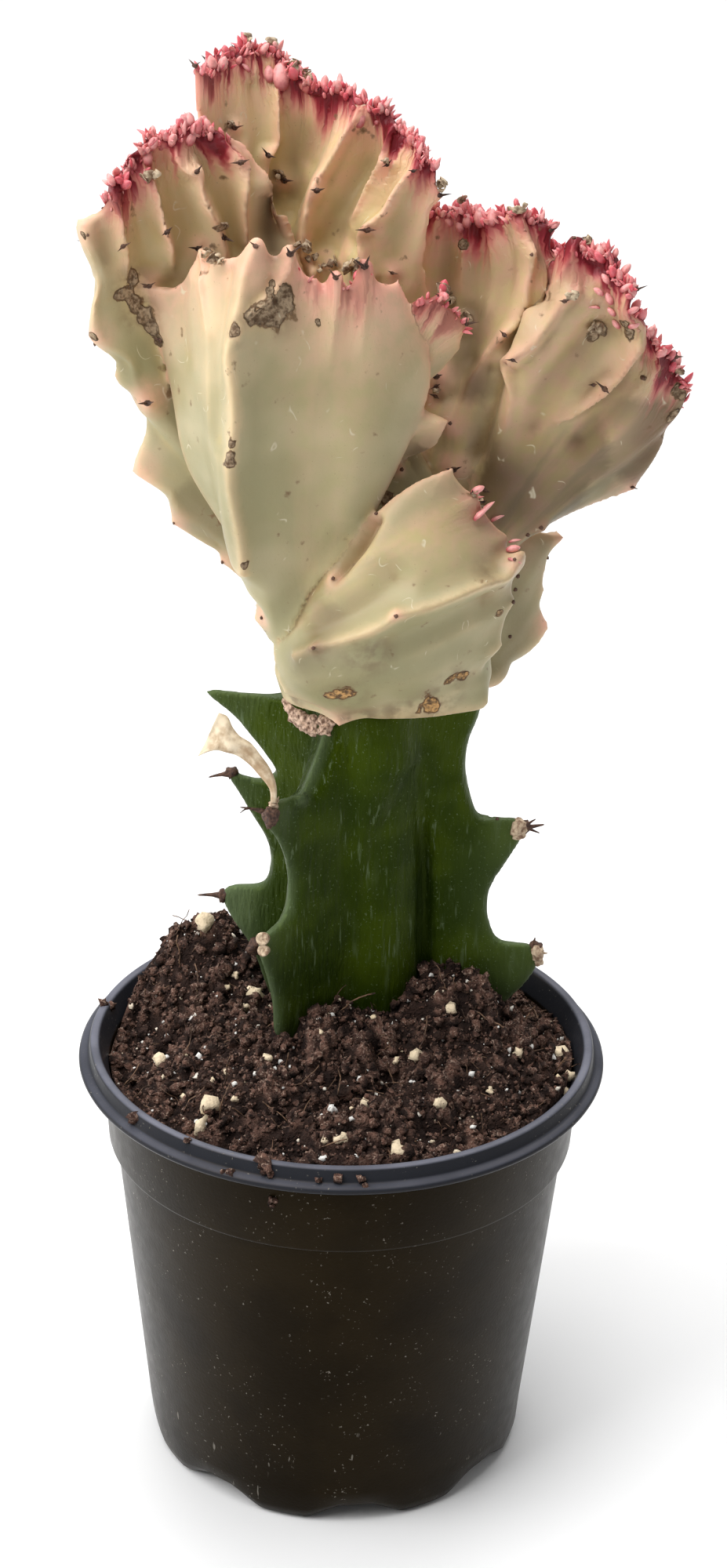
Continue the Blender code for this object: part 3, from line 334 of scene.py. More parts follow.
# Spines of the crest: pixel and size; the ones under 1 are short or broken.
SPINES = (
    (190, 365, 0.9), (253, 317, 1.1), (326, 314, 0.9), (370, 324, 1.1), (428, 354, 1.0), (465, 340, 1.1),
    (500, 348, 0.7), (188, 514, 1.0), (556, 480, 1.0), (556, 492, 0.7), (555, 505, 0.7), (425, 738, 0.6),
    (480, 655, 0.6), (157, 314, 0.8), (213, 296, 0.9), (251, 219, 0.8), (307, 207, 1.0), (299, 163, 1.0),
    (362, 230, 1.0), (286, 303, 1.0), (342, 198, 0.9), (404, 243, 0.9), (494, 210, 0.7), (468, 293, 1.0),
    (527, 218, 0.7), (250, 84, 0.8), (265, 78, 0.8), (300, 64, 0.7), (398, 92, 0.9), (678, 325, 0.6), (643, 427, 0.8),
    (654, 459, 0.7), (732, 304, 0.6), (720, 384, 0.8), (771, 496, 1.0), (757, 491, 0.7), (812, 369, 0.8),
    (806, 621, 0.7), (660, 270, 0.6), (702, 294, 0.7), (862, 455, 0.8), (578, 599, 1.0), (505, 786, 0.6),
    (400, 827, 0.6), (656, 714, 0.6), (660, 735, 0.6), (657, 752, 0.6), (654, 768, 0.6), (673, 682, 0.6),
    (690, 673, 0.6), (700, 712, 0.6), (650, 812, 0.6), (512, 599, 0.6), (574, 540, 0.6), (594, 413, 0.9),
    (562, 378, 0.8), (575, 385, 0.7), (284, 717, 0.6), (334, 788, 0.6), (222, 667, 0.5), (602, 630, 0.8),
    (618, 625, 0.8), (616, 640, 0.7), (561, 249, 0.8), (820, 482, 0.6), (130, 265, 0.5), (112, 300, 0.5),
    (120, 440, 0.6), (205, 434, 0.9), (185, 365, 0.6),
)
# Corky scars and brown smudges: pixel and half width.
SCARS = (
    (300, 422, 2.4), (292, 580, 1.8), (294, 592, 1.8), (295, 568, 1.4), (494, 633, 1.9), (406, 412, 1.4),
    (340, 400, 5.5), (360, 385, 4.0), (325, 402, 3.0), (170, 355, 2.6), (160, 375, 3.2), (172, 388, 3.0),
    (185, 400, 3.0), (195, 418, 2.6), (204, 434, 2.2), (433, 886, 3.0), (448, 884, 2.8), (420, 888, 2.0),
    (572, 869, 2.6), (590, 862, 2.0), (545, 897, 3.0), (555, 899, 2.6), (757, 429, 2.0), (765, 421, 2.4),
    (796, 414, 2.0), (803, 424, 2.4), (590, 312, 2.0), (820, 482, 1.4), (311, 722, 1.4), (865, 500, 2.4),
    (858, 530, 2.4), (850, 552, 2.0), (118, 430, 1.6), (106, 300, 1.2), (638, 782, 1.2), (345, 372, 1.6),
    (347, 362, 1.2), (534, 903, 2.2), (366, 390, 2.6),
)
SMUDGES = (
    (446, 917, 4.0), (470, 913, 4.0), (500, 909, 4.0), (520, 905, 4.5), (375, 892, 4.0), (470, 838, 7.0),
    (168, 362, 6.0), (180, 395, 6.5), (350, 398, 7.0), (440, 888, 6.0), (560, 895, 7.0), (575, 868, 5.0),
    (862, 520, 6.0), (400, 830, 4.0), (620, 730, 4.0), (300, 425, 4.5),
)
# Larger young leaves: pixel of the base, pixel of the tip, and 0 for a pointed one or 1 for a plump one.
LARGE_BUDS = (
    (359, 116, 356, 80, 1), (457, 162, 458, 136, 1), (434, 112, 434, 94, 0), (450, 122, 451, 106, 0),
    (240, 186, 241, 160, 1), (188, 212, 186, 190, 1), (330, 70, 340, 56, 1), (318, 92, 306, 74, 0),
    (596, 290, 596, 266, 1), (614, 290, 615, 264, 1), (576, 288, 566, 270, 1), (650, 285, 640, 270, 0),
    (690, 285, 692, 268, 0), (768, 330, 766, 312, 1), (205, 190, 208, 168, 0), (222, 178, 222, 160, 0),
    (254, 168, 256, 150, 0), (862, 470, 862, 446, 0), (832, 432, 832, 414, 0), (530, 190, 536, 174, 0),
    (480, 158, 484, 138, 0), (600, 630, 616, 622, 1), (603, 664, 617, 643, 0), (612, 655, 624, 636, 0),
    (626, 664, 642, 650, 0), (644, 703, 662, 699, 1), (648, 714, 666, 716, 0), (646, 692, 660, 684, 0),
    (790, 352, 800, 336, 1), (778, 362, 770, 348, 1), (792, 372, 806, 362, 1), (770, 376, 758, 366, 1),
    (782, 388, 776, 372, 1), (800, 398, 814, 390, 1), (786, 402, 778, 390, 1), (802, 416, 816, 410, 1),
    (765, 392, 750, 386, 0), (792, 418, 784, 406, 1), (628, 288, 630, 266, 1), (588, 296, 584, 276, 1),
    (166, 214, 162, 196, 1), (146, 238, 138, 222, 1), (260, 166, 262, 146, 1), (344, 106, 342, 84, 1),
)
# Dead bits of leaf on the crest: pixel and size.
DEAD_LEAVES = (
    (264, 326, 1.0), (276, 334, 1.0), (288, 336, 0.9), (384, 318, 1.2), (396, 334, 1.0), (410, 344, 0.9),
    (424, 338, 1.0), (446, 344, 1.1), (456, 340, 1.0), (192, 228, 1.3), (284, 292, 1.3), (292, 163, 1.0),
    (355, 226, 1.1), (494, 208, 0.9), (376, 88, 1.2), (396, 96, 1.1), (562, 240, 1.4), (590, 254, 1.1),
    (660, 272, 1.2), (594, 408, 1.0), (566, 378, 1.3), (574, 386, 1.2), (726, 380, 1.2), (754, 312, 1.2),
    (318, 52, 1.1), (345, 50, 1.2), (292, 70, 1.0), (555, 498, 0.9), (608, 636, 0.8), (760, 420, 1.4),
    (848, 452, 1.0), (866, 476, 1.0),
)

# Wings of the stem: bearing, flank thickness low down, then reach and height of the edge from the graft down.
WINGS = (
    (-9, 2.0, [
        (23.5, 178), (22.6, 172.8), (20.6, 168), (20, 161.5), (21.1, 155.8), (22.8, 150.6), (24.4, 149.2),
        (31, 150.8), (33.6, 149.6), (33, 145.8), (29.8, 140), (26.6, 134.2), (25.8, 129.2), (26.7, 125), (28, 121.6),
        (30.4, 120.5), (36.4, 121), (38.2, 119), (37.4, 115), (34.2, 109.6), (26, 101), (18, 90), (9, 72)]),
    (75, 5.5, [
        (19, 178), (18, 168), (20, 161), (25.5, 158.5), (24, 155), (19, 150), (17.5, 142), (18, 133), (21, 129),
        (27, 127), (24.5, 122.5), (20, 115), (18, 98), (14, 88), (8, 72)]),
    (128, 5.5, [
        (18, 178), (19, 171), (21, 167), (26, 164.5), (24, 161), (19, 154), (17, 146), (18, 139), (20, 135.5),
        (26, 133), (24, 128.5), (20, 121), (19, 112), (18, 98), (14, 88), (8, 72)]),
    (173, 4.5, [
        (12, 177), (18, 174.2), (27, 174.4), (36.4, 174.8), (34.5, 172.8), (30.5, 170.2), (24, 163), (19.5, 157.5),
        (21.5, 155.5), (24.4, 154.4), (30.4, 156.4), (31, 155), (28.2, 151), (26.2, 147.3), (23, 142.7),
        (21.3, 138.2), (21.4, 133.2), (23, 129.4), (29.6, 129.4), (32.4, 127.4), (31.6, 123.6), (28.4, 118.7),
        (25, 114), (22, 104), (16, 90), (8, 72)]),
    (229, 5.5, [
        (12.5, 178), (14, 171.5), (17.6, 165), (20.2, 160.6), (22, 159.6), (28.6, 161.6), (32, 160.2), (33, 157.8),
        (31, 155), (28.2, 151.8), (25.8, 146.8), (24.6, 141.2), (25.2, 135), (27.4, 132.4), (31.8, 132.2),
        (34.6, 130.6), (34.2, 127), (32.2, 123), (30.4, 117.3), (29.3, 112.5), (29.4, 106), (25, 98), (17, 88),
        (8, 72)]),
)
# The stem's core and the swelling at its front: height, centre x and y, and radius.
STEM_CORE = ((70, 5, 8, 9), (80, 5, 8, 11), (100, 5, 8, 13), (120, 5, 8, 12.6), (150, 5, 8, 12), (178, 5, 8, 13.2))
STEM_FRONT = ((70, 3, 3, 6), (90, 1, 3, 7), (110, -0.5, 3, 8), (130, -0.5, 3, 8), (150, 2, 3, 8.5),
              (165, 6, 3, 9.5), (178, 6, 4, 9.5))
# The crease down the stem's front: its pixels.
STEM_CREASE = ((541, 1000), (543, 1060), (544, 1130), (545, 1225))
# Raised pale edges of the stem: pixels, height and half width.
STEM_EDGES = (
    ([(422, 924), (410, 962), (396, 1000), (386, 1018), (364, 1024)], 1.6, 2.2),
    ([(352, 1056), (366, 1090), (371, 1130), (367, 1165), (350, 1190)], 0.7, 1.5),
)
# Woody shields and spikes at the stem's teeth: pixel, half size, 1 if pale; and pixel, pixel of the end, half
# thickness, 1 if pale.
STEM_SHIELDS = (
    (296, 986, 1.3, 0), (284, 1141, 1.3, 0), (672, 1052, 1.2, 0), (676, 1058, 1.0, 0), (684, 1208, 1.3, 0),
    (345, 1040, 1.7, 0), (349, 1027, 1.0, 1), (326, 1206, 2.0, 0), (660, 1055, 1.7, 1), (661, 1063, 1.3, 1),
    (668, 1056, 1.0, 0), (685, 1215, 1.6, 1), (687, 1225, 1.2, 1), (682, 1202, 1.0, 0), (343, 1048, 1.1, 0),
    (634, 1045, 0.4, 0),
)
STEM_SPIKES = (
    (294, 987, 266, 989, 0.9, 0), (282, 1142, 252, 1139, 1.0, 0), (338, 1036, 306, 1027, 0.8, 0),
    (316, 1031, 306, 1035, 0.4, 0), (668, 1056, 694, 1049, 1.0, 0), (678, 1053, 683, 1042, 0.7, 0),
    (680, 1053, 688, 1060, 0.7, 0), (683, 1203, 682, 1193, 0.8, 0), (687, 1210, 698, 1213, 0.8, 1),
    (353, 1023, 356, 1013, 0.5, 1), (349, 1022, 347, 1010, 0.4, 1),
)
# Cut stubs: pixel and radius; and the height and share of the radius of each ring of a stub.
CUT_STUBS = ((336, 1197, 1.35), (337, 1212, 1.2))
STUB_PROFILE = ((-1.5, 0.8), (0.2, 1.0), (0.9, 1.05), (1.15, 0.95), (1.15, 0.55), (0.95, 0.45), (0.95, 0.2),
                (1.15, 0.12))
# Edges of the withered leaf from its stalk to its flared end, and the line of the crust at the graft
DRIED_LEAF_UPPER = ((353, 1024), (352, 1000), (345, 981), (333, 964), (319, 947), (305, 938), (297, 928), (289, 913),
                    (279, 909))
DRIED_LEAF_LOWER = ((345, 1025), (344, 1008), (331, 990), (314, 972), (300, 963), (289, 960), (275, 957), (263, 960),
                    (252, 965))
CALLUS = ((362, 895), (370, 904), (382, 912), (396, 917), (410, 918), (421, 917), (418, 929), (408, 933), (395, 931),
          (382, 924), (371, 915), (402, 925))

# Larger perlite grains on the soil, and crumbs on the pot's lip and wall: pixel and half size.
LARGE_PERLITE = (
    (325, 1270, 2.1), (265, 1415, 1.9), (257, 1440, 2.0), (715, 1350, 1.8), (725, 1375, 1.2), (720, 1395, 1.2),
    (530, 1350, 1.4), (510, 1472, 1.8), (575, 1290, 1.4), (262, 1180, 1.8), (160, 1288, 1.3), (315, 1285, 1.1),
    (205, 1355, 1.3), (240, 1345, 0.8), (290, 1260, 0.8), (300, 1245, 0.8), (235, 1402, 1.1), (690, 1280, 1.4),
    (560, 1410, 1.2), (465, 1410, 1.1), (435, 1455, 1.3), (415, 1455, 0.8), (625, 1392, 0.8), (660, 1345, 1.1),
    (340, 1352, 0.9), (300, 1402, 0.7), (270, 1380, 0.7), (505, 1355, 0.8), (390, 1270, 0.7), (400, 1268, 0.6),
)
SPILT_CRUMBS = (
    (348, 1530, 1.0), (347, 1538, 0.6), (294, 1496, 0.9), (284, 1494, 0.6), (407, 1505, 0.8), (432, 1502, 1.1),
    (460, 1503, 1.0), (466, 1512, 0.7), (340, 1490, 1.3), (335, 1480, 1.5), (122, 1278, 1.2), (132, 1280, 1.1),
    (142, 1284, 1.0), (170, 1430, 0.9), (172, 1425, 1.2), (200, 1420, 0.8), (345, 1497, 0.9), (240, 1455, 0.8),
)

# Colours as linear red, green, blue
SAGE = (0.355, 0.325, 0.175)
CREAM = (0.48, 0.425, 0.255)
TAN = (0.78, 0.62, 0.27)
ROSY = (0.95, 0.56, 0.38)
# Yellow tint near the red margins, and painted highlight on the ridges and bulges.
YELLOW = (0.95, 0.70, 0.40)
# Rosy flush, partly painted highlight on the ridges and bulges.
SALMON = (0.95, 0.50, 0.38)
PINK = (0.66, 0.19, 0.18)
MAGENTA = (0.34, 0.03, 0.045)
MAROON = (0.12, 0.006, 0.010)
# Painted shade in the hollows between the ridges, brown and olive.
HOLLOW_SHADE_BROWN = (0.27, 0.18, 0.07)
HOLLOW_SHADE_OLIVE = (0.52, 0.41, 0.18)
# Painted shadow cast by other lobes.
SHADOW_BROWN = (0.085, 0.05, 0.024)
SMUDGE_BROWN = (0.24, 0.18, 0.10)
CORK_DARK = (0.13, 0.08, 0.045)
CORK_PALE = (0.42, 0.31, 0.20)
CORK_ORANGE = (0.66, 0.38, 0.15)
SCAR_EDGE = (0.20, 0.12, 0.06)
SCRATCH = (0.72, 0.66, 0.48)
BUD_ROSE = (0.66, 0.10, 0.13)
BUD_PALE = (0.86, 0.40, 0.37)
BUD_DEEP = (0.38, 0.03, 0.06)
STEM_DARK = (0.011, 0.022, 0.0008)
STEM_GREEN = (0.030, 0.048, 0.0012)
# Painted shade down the stem's crease.
STEM_CREASE_SHADE = (0.004, 0.010, 0.0006)
STEM_BLOOM = (0.12, 0.16, 0.09)
# Painted shade in the soil's low places and under crumbs.
PEAT_SHADE = (0.007, 0.003, 0.002)
PEAT_DARK = (0.058, 0.029, 0.022)
PEAT_BROWN = (0.18, 0.094, 0.068)
PEAT_PALE = (0.55, 0.40, 0.31)
PERLITE_WHITE = (0.80, 0.78, 0.74)
PERLITE_CREAM = (0.80, 0.64, 0.42)
PERLITE_SHADE = (0.40, 0.30, 0.20)
POT_BLACK = (0.005, 0.0032, 0.001)
POT_BROWN = (0.010, 0.0065, 0.0022)
FIBRE_DARK = (0.05, 0.025, 0.015)
FIBRE_PALE = (0.2, 0.11, 0.06)
SPINE_DARK = (0.025, 0.010, 0.007)
SPINE_PALE = (0.13, 0.065, 0.04)
DEAD_DARK = (0.20, 0.12, 0.07)
DEAD_PALE = (0.62, 0.50, 0.34)
CUT_DARK = (0.22, 0.12, 0.07)
CUT_PALE = (0.66, 0.52, 0.36)
PAPER_DARK = (0.42, 0.29, 0.17)
PAPER_PALE = (0.78, 0.66, 0.48)
CRUST_DARK = (0.15, 0.08, 0.05)
CRUST_PALE = (0.78, 0.56, 0.42)
# Painted reflection on the pot's rim: grey highlight on its top faces, bluish black over the rest.
RIM_HIGHLIGHT_GREY = (0.17, 0.175, 0.215)
RIM_REFLECTION_BLACK = (0.022, 0.024, 0.030)
POT_DUST = (0.22, 0.20, 0.17)
FLOOR_GREY = (0.9, 0.9, 0.9)
FLOOR_WHITE = (0.93, 0.93, 0.93)

FLOOR_SIZE, FLOOR_BACK = 12000, 2000
AIR_LIGHT = 0.24
LAMPS = (
    ("window light", (-900, -520, 1150), 900, 14.5, (0, 0, 200)),
    ("ceiling light", (-150, -150, 1400), 900, 10, (0, 0, 150)),
    ("backdrop light", (100, 1900, 2400), 2400, 60, (100, 1700, 0)),
    ("left light", (-1150, 150, 420), 600, 3.5, (0, 0, 170)),
    ("right light", (1100, 300, 500), 700, 1.5, (0, 0, 120)),
)


# Camera and photograph


def camera_place():
    """The camera's matrix, in millimetres."""
    back = Vector((0, -math.cos(LOOK_DOWN), math.sin(LOOK_DOWN)))
    right = Vector((1, 0, 0))
    up = back.cross(right)
    turned_right = right * math.cos(ROLL) + up * math.sin(ROLL)
    turned_up = up * math.cos(ROLL) - right * math.sin(ROLL)
    place = Matrix((turned_right, turned_up, back)).transposed().to_4x4()
    place.translation = AIM + back * DISTANCE
    return place


def sight(u, v):
    """Start and direction of the line of sight through a pixel of the photograph."""
    place = camera_place()
    focal = LENS / SENSOR * PHOTO_HEIGHT
    ray = place.to_3x3() @ Vector((u - PHOTO_WIDTH / 2, PHOTO_HEIGHT / 2 - v, -focal))
    return place.translation, ray.normalized()


def toward_camera():
    return np.array(camera_place().to_3x3() @ Vector((0, 0, 1)))


def beside(place, u, v):
    """The point on the line of sight through a pixel that is as far from the camera as a place."""
    start, ray = sight(u, v)
    back = toward_camera()
    depth = float(np.dot(np.array(start) - place, back))
    return np.array(start) + np.array(ray) * depth / -float(np.dot(np.array(ray), back))


class Skin:
    """A grown surface that is shaped: its points, their normals and a way to find places on it."""

    def __init__(self, mesh):
        self.mesh = mesh
        self.ends = edge_ends(mesh)
        self.renew()

    def renew(self):
        """Takes the mesh's present shape as the one that places are found on."""
        self.points = points_of(self.mesh)
        normals = relax(read_rows(self.mesh.vertex_normals, "vector", 3), self.ends, 8)
        self.normals = normals / (np.linalg.norm(normals, axis=1, keepdims=True) + TINY)
        self.tree = faces_tree(self.mesh)
        self.near = points_tree(self.points)

    def normal_at(self, place):
        return self.normals[self.near.find(place)[1]]

    def seen(self, u, v):
        """The place seen at a pixel of the photograph, its normal, and the way from it to the line of sight.

        Where the line misses the skin, it is the place that the line passes closest to.
        """
        start, ray = sight(u, v)
        hit = self.tree.ray_cast(start, ray)[0]
        if hit is not None:
            return np.array(hit), self.normal_at(hit), np.zeros(3)
        spots = [start + ray * far for far in np.arange(*SEARCH)]
        best = min(spots, key=lambda spot: self.tree.find_nearest(spot)[3])
        place = self.tree.find_nearest(best)[0]
        return np.array(place), self.normal_at(place), np.array(best - place)

    def line(self, pixels):
        """Places along a line of pixels, about half a millimetre apart, with their normals."""
        pixels = np.asarray(pixels, float)
        count = max(int(step_lengths(pixels).sum() / 3), 2)
        at = at_fractions(pixels, np.linspace(0, 1, count))
        found = [self.seen(u, v) for u, v in smooth_curve(pixels, at)]
        return np.array([f[0] for f in found]), np.array([f[1] for f in found])

    def near_line(self, pixels, wide):
        """The points near a line of pixels: their numbers, distance, place along it, facing and the nearest spot."""
        places, normals = self.line(pixels)
        low, high = places.min(axis=0) - wide, places.max(axis=0) + wide
        close = np.nonzero(np.all((self.points > low) & (self.points < high), axis=1))[0]
        gaps = np.linalg.norm(self.points[close][:, None] - places[None], axis=2)
        nearest = gaps.argmin(axis=1)
        far = gaps[np.arange(len(close)), nearest]
        facing = np.einsum("ij,ij->i", self.normals[close], normals[nearest])
        keep = far < wide
        return close[keep], far[keep], nearest[keep] / max(len(places) - 1, 1), facing[keep], places[nearest[keep]]

    def steep_on_right(self, chosen, far, spots, more, wide):
        """Distances from a line, counted as longer on its right."""
        aside = (self.points[chosen] - spots)[:, 0] / np.maximum(far, 0.3)
        return np.minimum(far * (1 + more * ease(aside, 0.1, 0.7)), wide)

    def shift(self, moves):
        self.points = self.points + moves
        place_points(self.mesh, self.points)


# Curves and meshes


def smooth_curve(points, at):
    """Points of a smooth curve through the given ones; at is 0 at the first of them, 1 at the second and so on."""
    points = np.asarray(points, float)
    steps = step_lengths(points)
    slopes = np.gradient(points, run_lengths(points), axis=0)
    k = np.clip(np.asarray(at).astype(int), 0, len(steps) - 1)
    w = (at - k)[:, None]
    span = steps[k][:, None]
    return ((2 * w**3 - 3 * w**2 + 1) * points[k] + (w**3 - 2 * w**2 + w) * span * slopes[k]
            + (3 * w**2 - 2 * w**3) * points[k + 1] + (w**3 - w**2) * span * slopes[k + 1])


def step_lengths(points, axis=0):
    """How far each of a line's points is from the one before."""
    return np.linalg.norm(np.diff(np.asarray(points, float), axis=axis), axis=-1)


def run_lengths(points, axis=0):
    """How far along its line each point lies."""
    return np.insert(np.cumsum(step_lengths(points, axis), axis=axis), 0, 0, axis=axis)


def at_fractions(points, fractions):
    """Where fractions of a line's length lie, counted in its points."""
    reached = run_lengths(points)
    return np.interp(fractions, reached / reached[-1], np.arange(len(points)))


def rows_of(*columns):
    """Rows made of columns of numbers; a single number fills its column."""
    return np.stack(np.broadcast_arrays(*columns), axis=-1)


def ease(value, low, high):
    """0 below low, 1 above high, and smooth in between."""
    t = np.clip((np.asarray(value, float) - low) / (high - low), 0, 1)
    return t * t * (3 - 2 * t)


def ring_faces(around, rows):
    """The quads between stacked rings of equal count."""
    k = np.arange(around)
    n = (k + 1) % around
    quads = []
    for row in range(rows - 1):
        low, high = row * around, (row + 1) * around
        quads.append(np.stack([low + k, low + n, high + n, high + k], axis=1))
    return np.concatenate(quads).tolist()


def level_ring(x, y, z, half_width, half_depth, turns):
    """Points round a level ellipse."""
    return rows_of(x + half_width * np.cos(turns), y + half_depth * np.sin(turns), z)


def all_round(sides):
    return np.linspace(0, 2 * np.pi, sides, endpoint=False)


def stacked_rings(rings):
    """A closed body from rings of equal count, its first and last ring filled."""
    around = len(rings[0])
    verts = np.concatenate(rings)
    faces = ring_faces(around, len(rings))
    faces += [list(range(around))[::-1], list(range(len(verts) - around, len(verts)))]
    return verts, faces


def together(bodies):
    """The points and faces of several bodies as one set."""
    verts, faces, start = [], [], 0
    for body_verts, body_faces in bodies:
        verts.append(np.asarray(body_verts, float))
        faces += [[start + k for k in face] for face in body_faces]
        start += len(body_verts)
    return np.concatenate(verts), faces


def new_mesh(name, verts, faces):
    """A mesh from points in millimetres, its faces turned outwards."""
    mesh = bpy.data.meshes.new(name)
    mesh.from_pydata((np.asarray(verts, float) * MM).tolist(), [], faces)
    model = bmesh.new()
    model.from_mesh(mesh)
    bmesh.ops.recalc_face_normals(model, faces=model.faces)
    model.to_mesh(mesh)
    model.free()
    return mesh


def new_piece(name, mesh, finish, stands_for=()):
    """Adds a finished mesh as a piece of the plant or its pot."""
    piece = bpy.data.objects.new(name, mesh)
    bpy.context.scene.collection.objects.link(piece)
    mesh.materials.clear()
    mesh.materials.append(finish)
    mesh.shade_smooth()
    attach(piece, "root")
    if stands_for:
        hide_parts(*stands_for)
    return piece


def nodes_named(start):
    return [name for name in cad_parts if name.startswith(start)]


def read_rows(items, field, width):
    """A row of numbers from each of a mesh's points, normals or stored values."""
    flat = np.empty(len(items) * width, np.float32)
    items.foreach_get(field, flat)
    return flat.reshape(-1, width).astype(float)


def points_of(mesh):
    """The mesh's points in millimetres."""
    return read_rows(mesh.vertices, "co", 3) / MM


def place_points(mesh, points):
    mesh.vertices.foreach_set("co", (points * MM).astype(np.float32).ravel())
    mesh.update()


def edge_ends(mesh):
    ends = np.empty(len(mesh.edges) * 2, np.int32)
    mesh.edges.foreach_get("vertices", ends)
    return ends.reshape(-1, 2)


def relax(values, ends, times, share=0.5):
    """Moves each value part of the way to the mean of its neighbours."""
    count = np.bincount(ends.ravel(), minlength=len(values)).astype(float)
    flat = values.reshape(len(values), -1)
    for _ in range(times):
        total = np.zeros_like(flat)
        for axis in range(flat.shape[1]):
            total[:, axis] = (np.bincount(ends[:, 0], flat[ends[:, 1], axis], len(flat))
                              + np.bincount(ends[:, 1], flat[ends[:, 0], axis], len(flat)))
        flat = flat + share * (total / np.maximum(count, 1)[:, None] - flat)
    return flat.reshape(values.shape)


def points_tree(points):
    """A search tree for the nearest of many points."""
    tree = KDTree(len(points))
    for k, point in enumerate(points):
        tree.insert(point, k)
    tree.balance()
    return tree


def faces_tree(*meshes):
    """A search tree over the faces of meshes, in millimetres."""
    verts, faces = together([(points_of(mesh), [face.vertices for face in mesh.polygons]) for mesh in meshes])
    return BVHTree.FromPolygons(verts.tolist(), faces)


def keep_layer(mesh, name, kind, field, values):
    """Stores numbers per point for the finish to read."""
    if name in mesh.attributes:
        mesh.attributes.remove(mesh.attributes[name])
    layer = mesh.attributes.new(name, kind, "POINT")
    layer.data.foreach_set(field, values.astype(np.float32).ravel())


def keep_vectors(mesh, name, values):
    keep_layer(mesh, name, "FLOAT_VECTOR", "vector", values)


def keep_colours(mesh, name, values):
    keep_layer(mesh, name, "FLOAT_COLOR", "color", values)


def tinted_mesh(name, verts, faces, tones):
    """A mesh from points in millimetres with a tint at each."""
    mesh = new_mesh(name, verts, faces)
    keep_colours(mesh, "tint", tones)
    return mesh


def modified(mesh, kind, **settings):
    """What a modifier makes of a mesh."""
    rough = bpy.data.objects.new("rough", mesh)
    bpy.context.scene.collection.objects.link(rough)
    step = rough.modifiers.new("step", kind)
    for name, value in settings.items():
        setattr(step, name, value)
    made = bpy.data.meshes.new_from_object(rough.evaluated_get(bpy.context.evaluated_depsgraph_get()))
    bpy.data.objects.remove(rough)
    return made


def grown_together(name, bodies, grid):
    """One skin over several closed bodies that cross each other."""
    verts, faces = together(bodies)
    mesh = bpy.data.meshes.new(name)
    mesh.from_pydata((verts * MM).tolist(), [], faces)
    grown = modified(mesh, "REMESH", mode="VOXEL", voxel_size=grid * MM)
    model = bmesh.new()
    model.from_mesh(grown)
    keep_largest_shell(model)
    model.to_mesh(grown)
    model.free()
    return grown


def keep_largest_shell(model):
    """Deletes every closed shell but the one with the most faces."""
    unseen = set(model.faces)
    shells = []
    while unseen:
        front = [unseen.pop()]
        shell = list(front)
        while front:
            for edge in front.pop().edges:
                for near in edge.link_faces:
                    if near in unseen:
                        unseen.remove(near)
                        front.append(near)
                        shell.append(near)
        shells.append(shell)
    shells.sort(key=len, reverse=True)
    for shell in shells[1:]:
        bmesh.ops.delete(model, geom=shell, context="FACES")


def turned_to(way, turn):
    """The rotation that stands a pattern's Z along a way and turns it round that."""
    way = Vector(way).normalized()
    return np.array((way.to_track_quat("Z", "Y").to_matrix() @ Matrix.Rotation(turn, 3, "Z")))


def scattered(patterns, places):
    """Copies of small patterns; each place is pattern, position, way, turn, size and tone."""
    bodies, tones = [], []
    for kind, position, way, turn, size, tone in places:
        verts, faces = patterns[kind]
        bodies.append(((verts * size) @ turned_to(way, turn).T + position, faces))
        heights = verts[:, 2]
        share = (heights - heights.min()) / (np.ptp(heights) + TINY)
        tones.append(rows_of(tone, share, 0, 1))
    return *together(bodies), np.concatenate(tones)


def lump_pattern(seed, subdivisions, rough, flat=1.0):
    """A rough round lump of about unit radius; 0 subdivisions give a coarse one for shapes in great number."""
    model = bmesh.new()
    if subdivisions:
        bmesh.ops.create_icosphere(model, subdivisions=subdivisions, radius=1)
    else:
        bmesh.ops.create_cube(model, size=1)
        bmesh.ops.subdivide_edges(model, edges=model.edges, cuts=1, use_grid_fill=True)
        for vert in model.verts:
            vert.co.normalize()
    shift = Vector((seed * 3.7, seed * 1.3, 0))
    verts = []
    for vert in model.verts:
        grown = 1 + rough * noise.noise(vert.co * 1.3 + shift) + 0.5 * rough * noise.noise(vert.co * 3.1 + shift)
        verts.append(tuple(vert.co * grown))
    faces = [[v.index for v in face.verts] for face in model.faces]
    model.free()
    return np.array(verts) * (1, 1, flat), faces


def leaf_pattern(profile, sides, flat, lean):
    """A fleshy young leaf of unit height; the profile gives height and half width from base to tip."""
    return stacked_rings([level_ring(0, -lean * height**2, float(height), half, half * flat, all_round(sides))
                          for height, half in profile])


# Crest


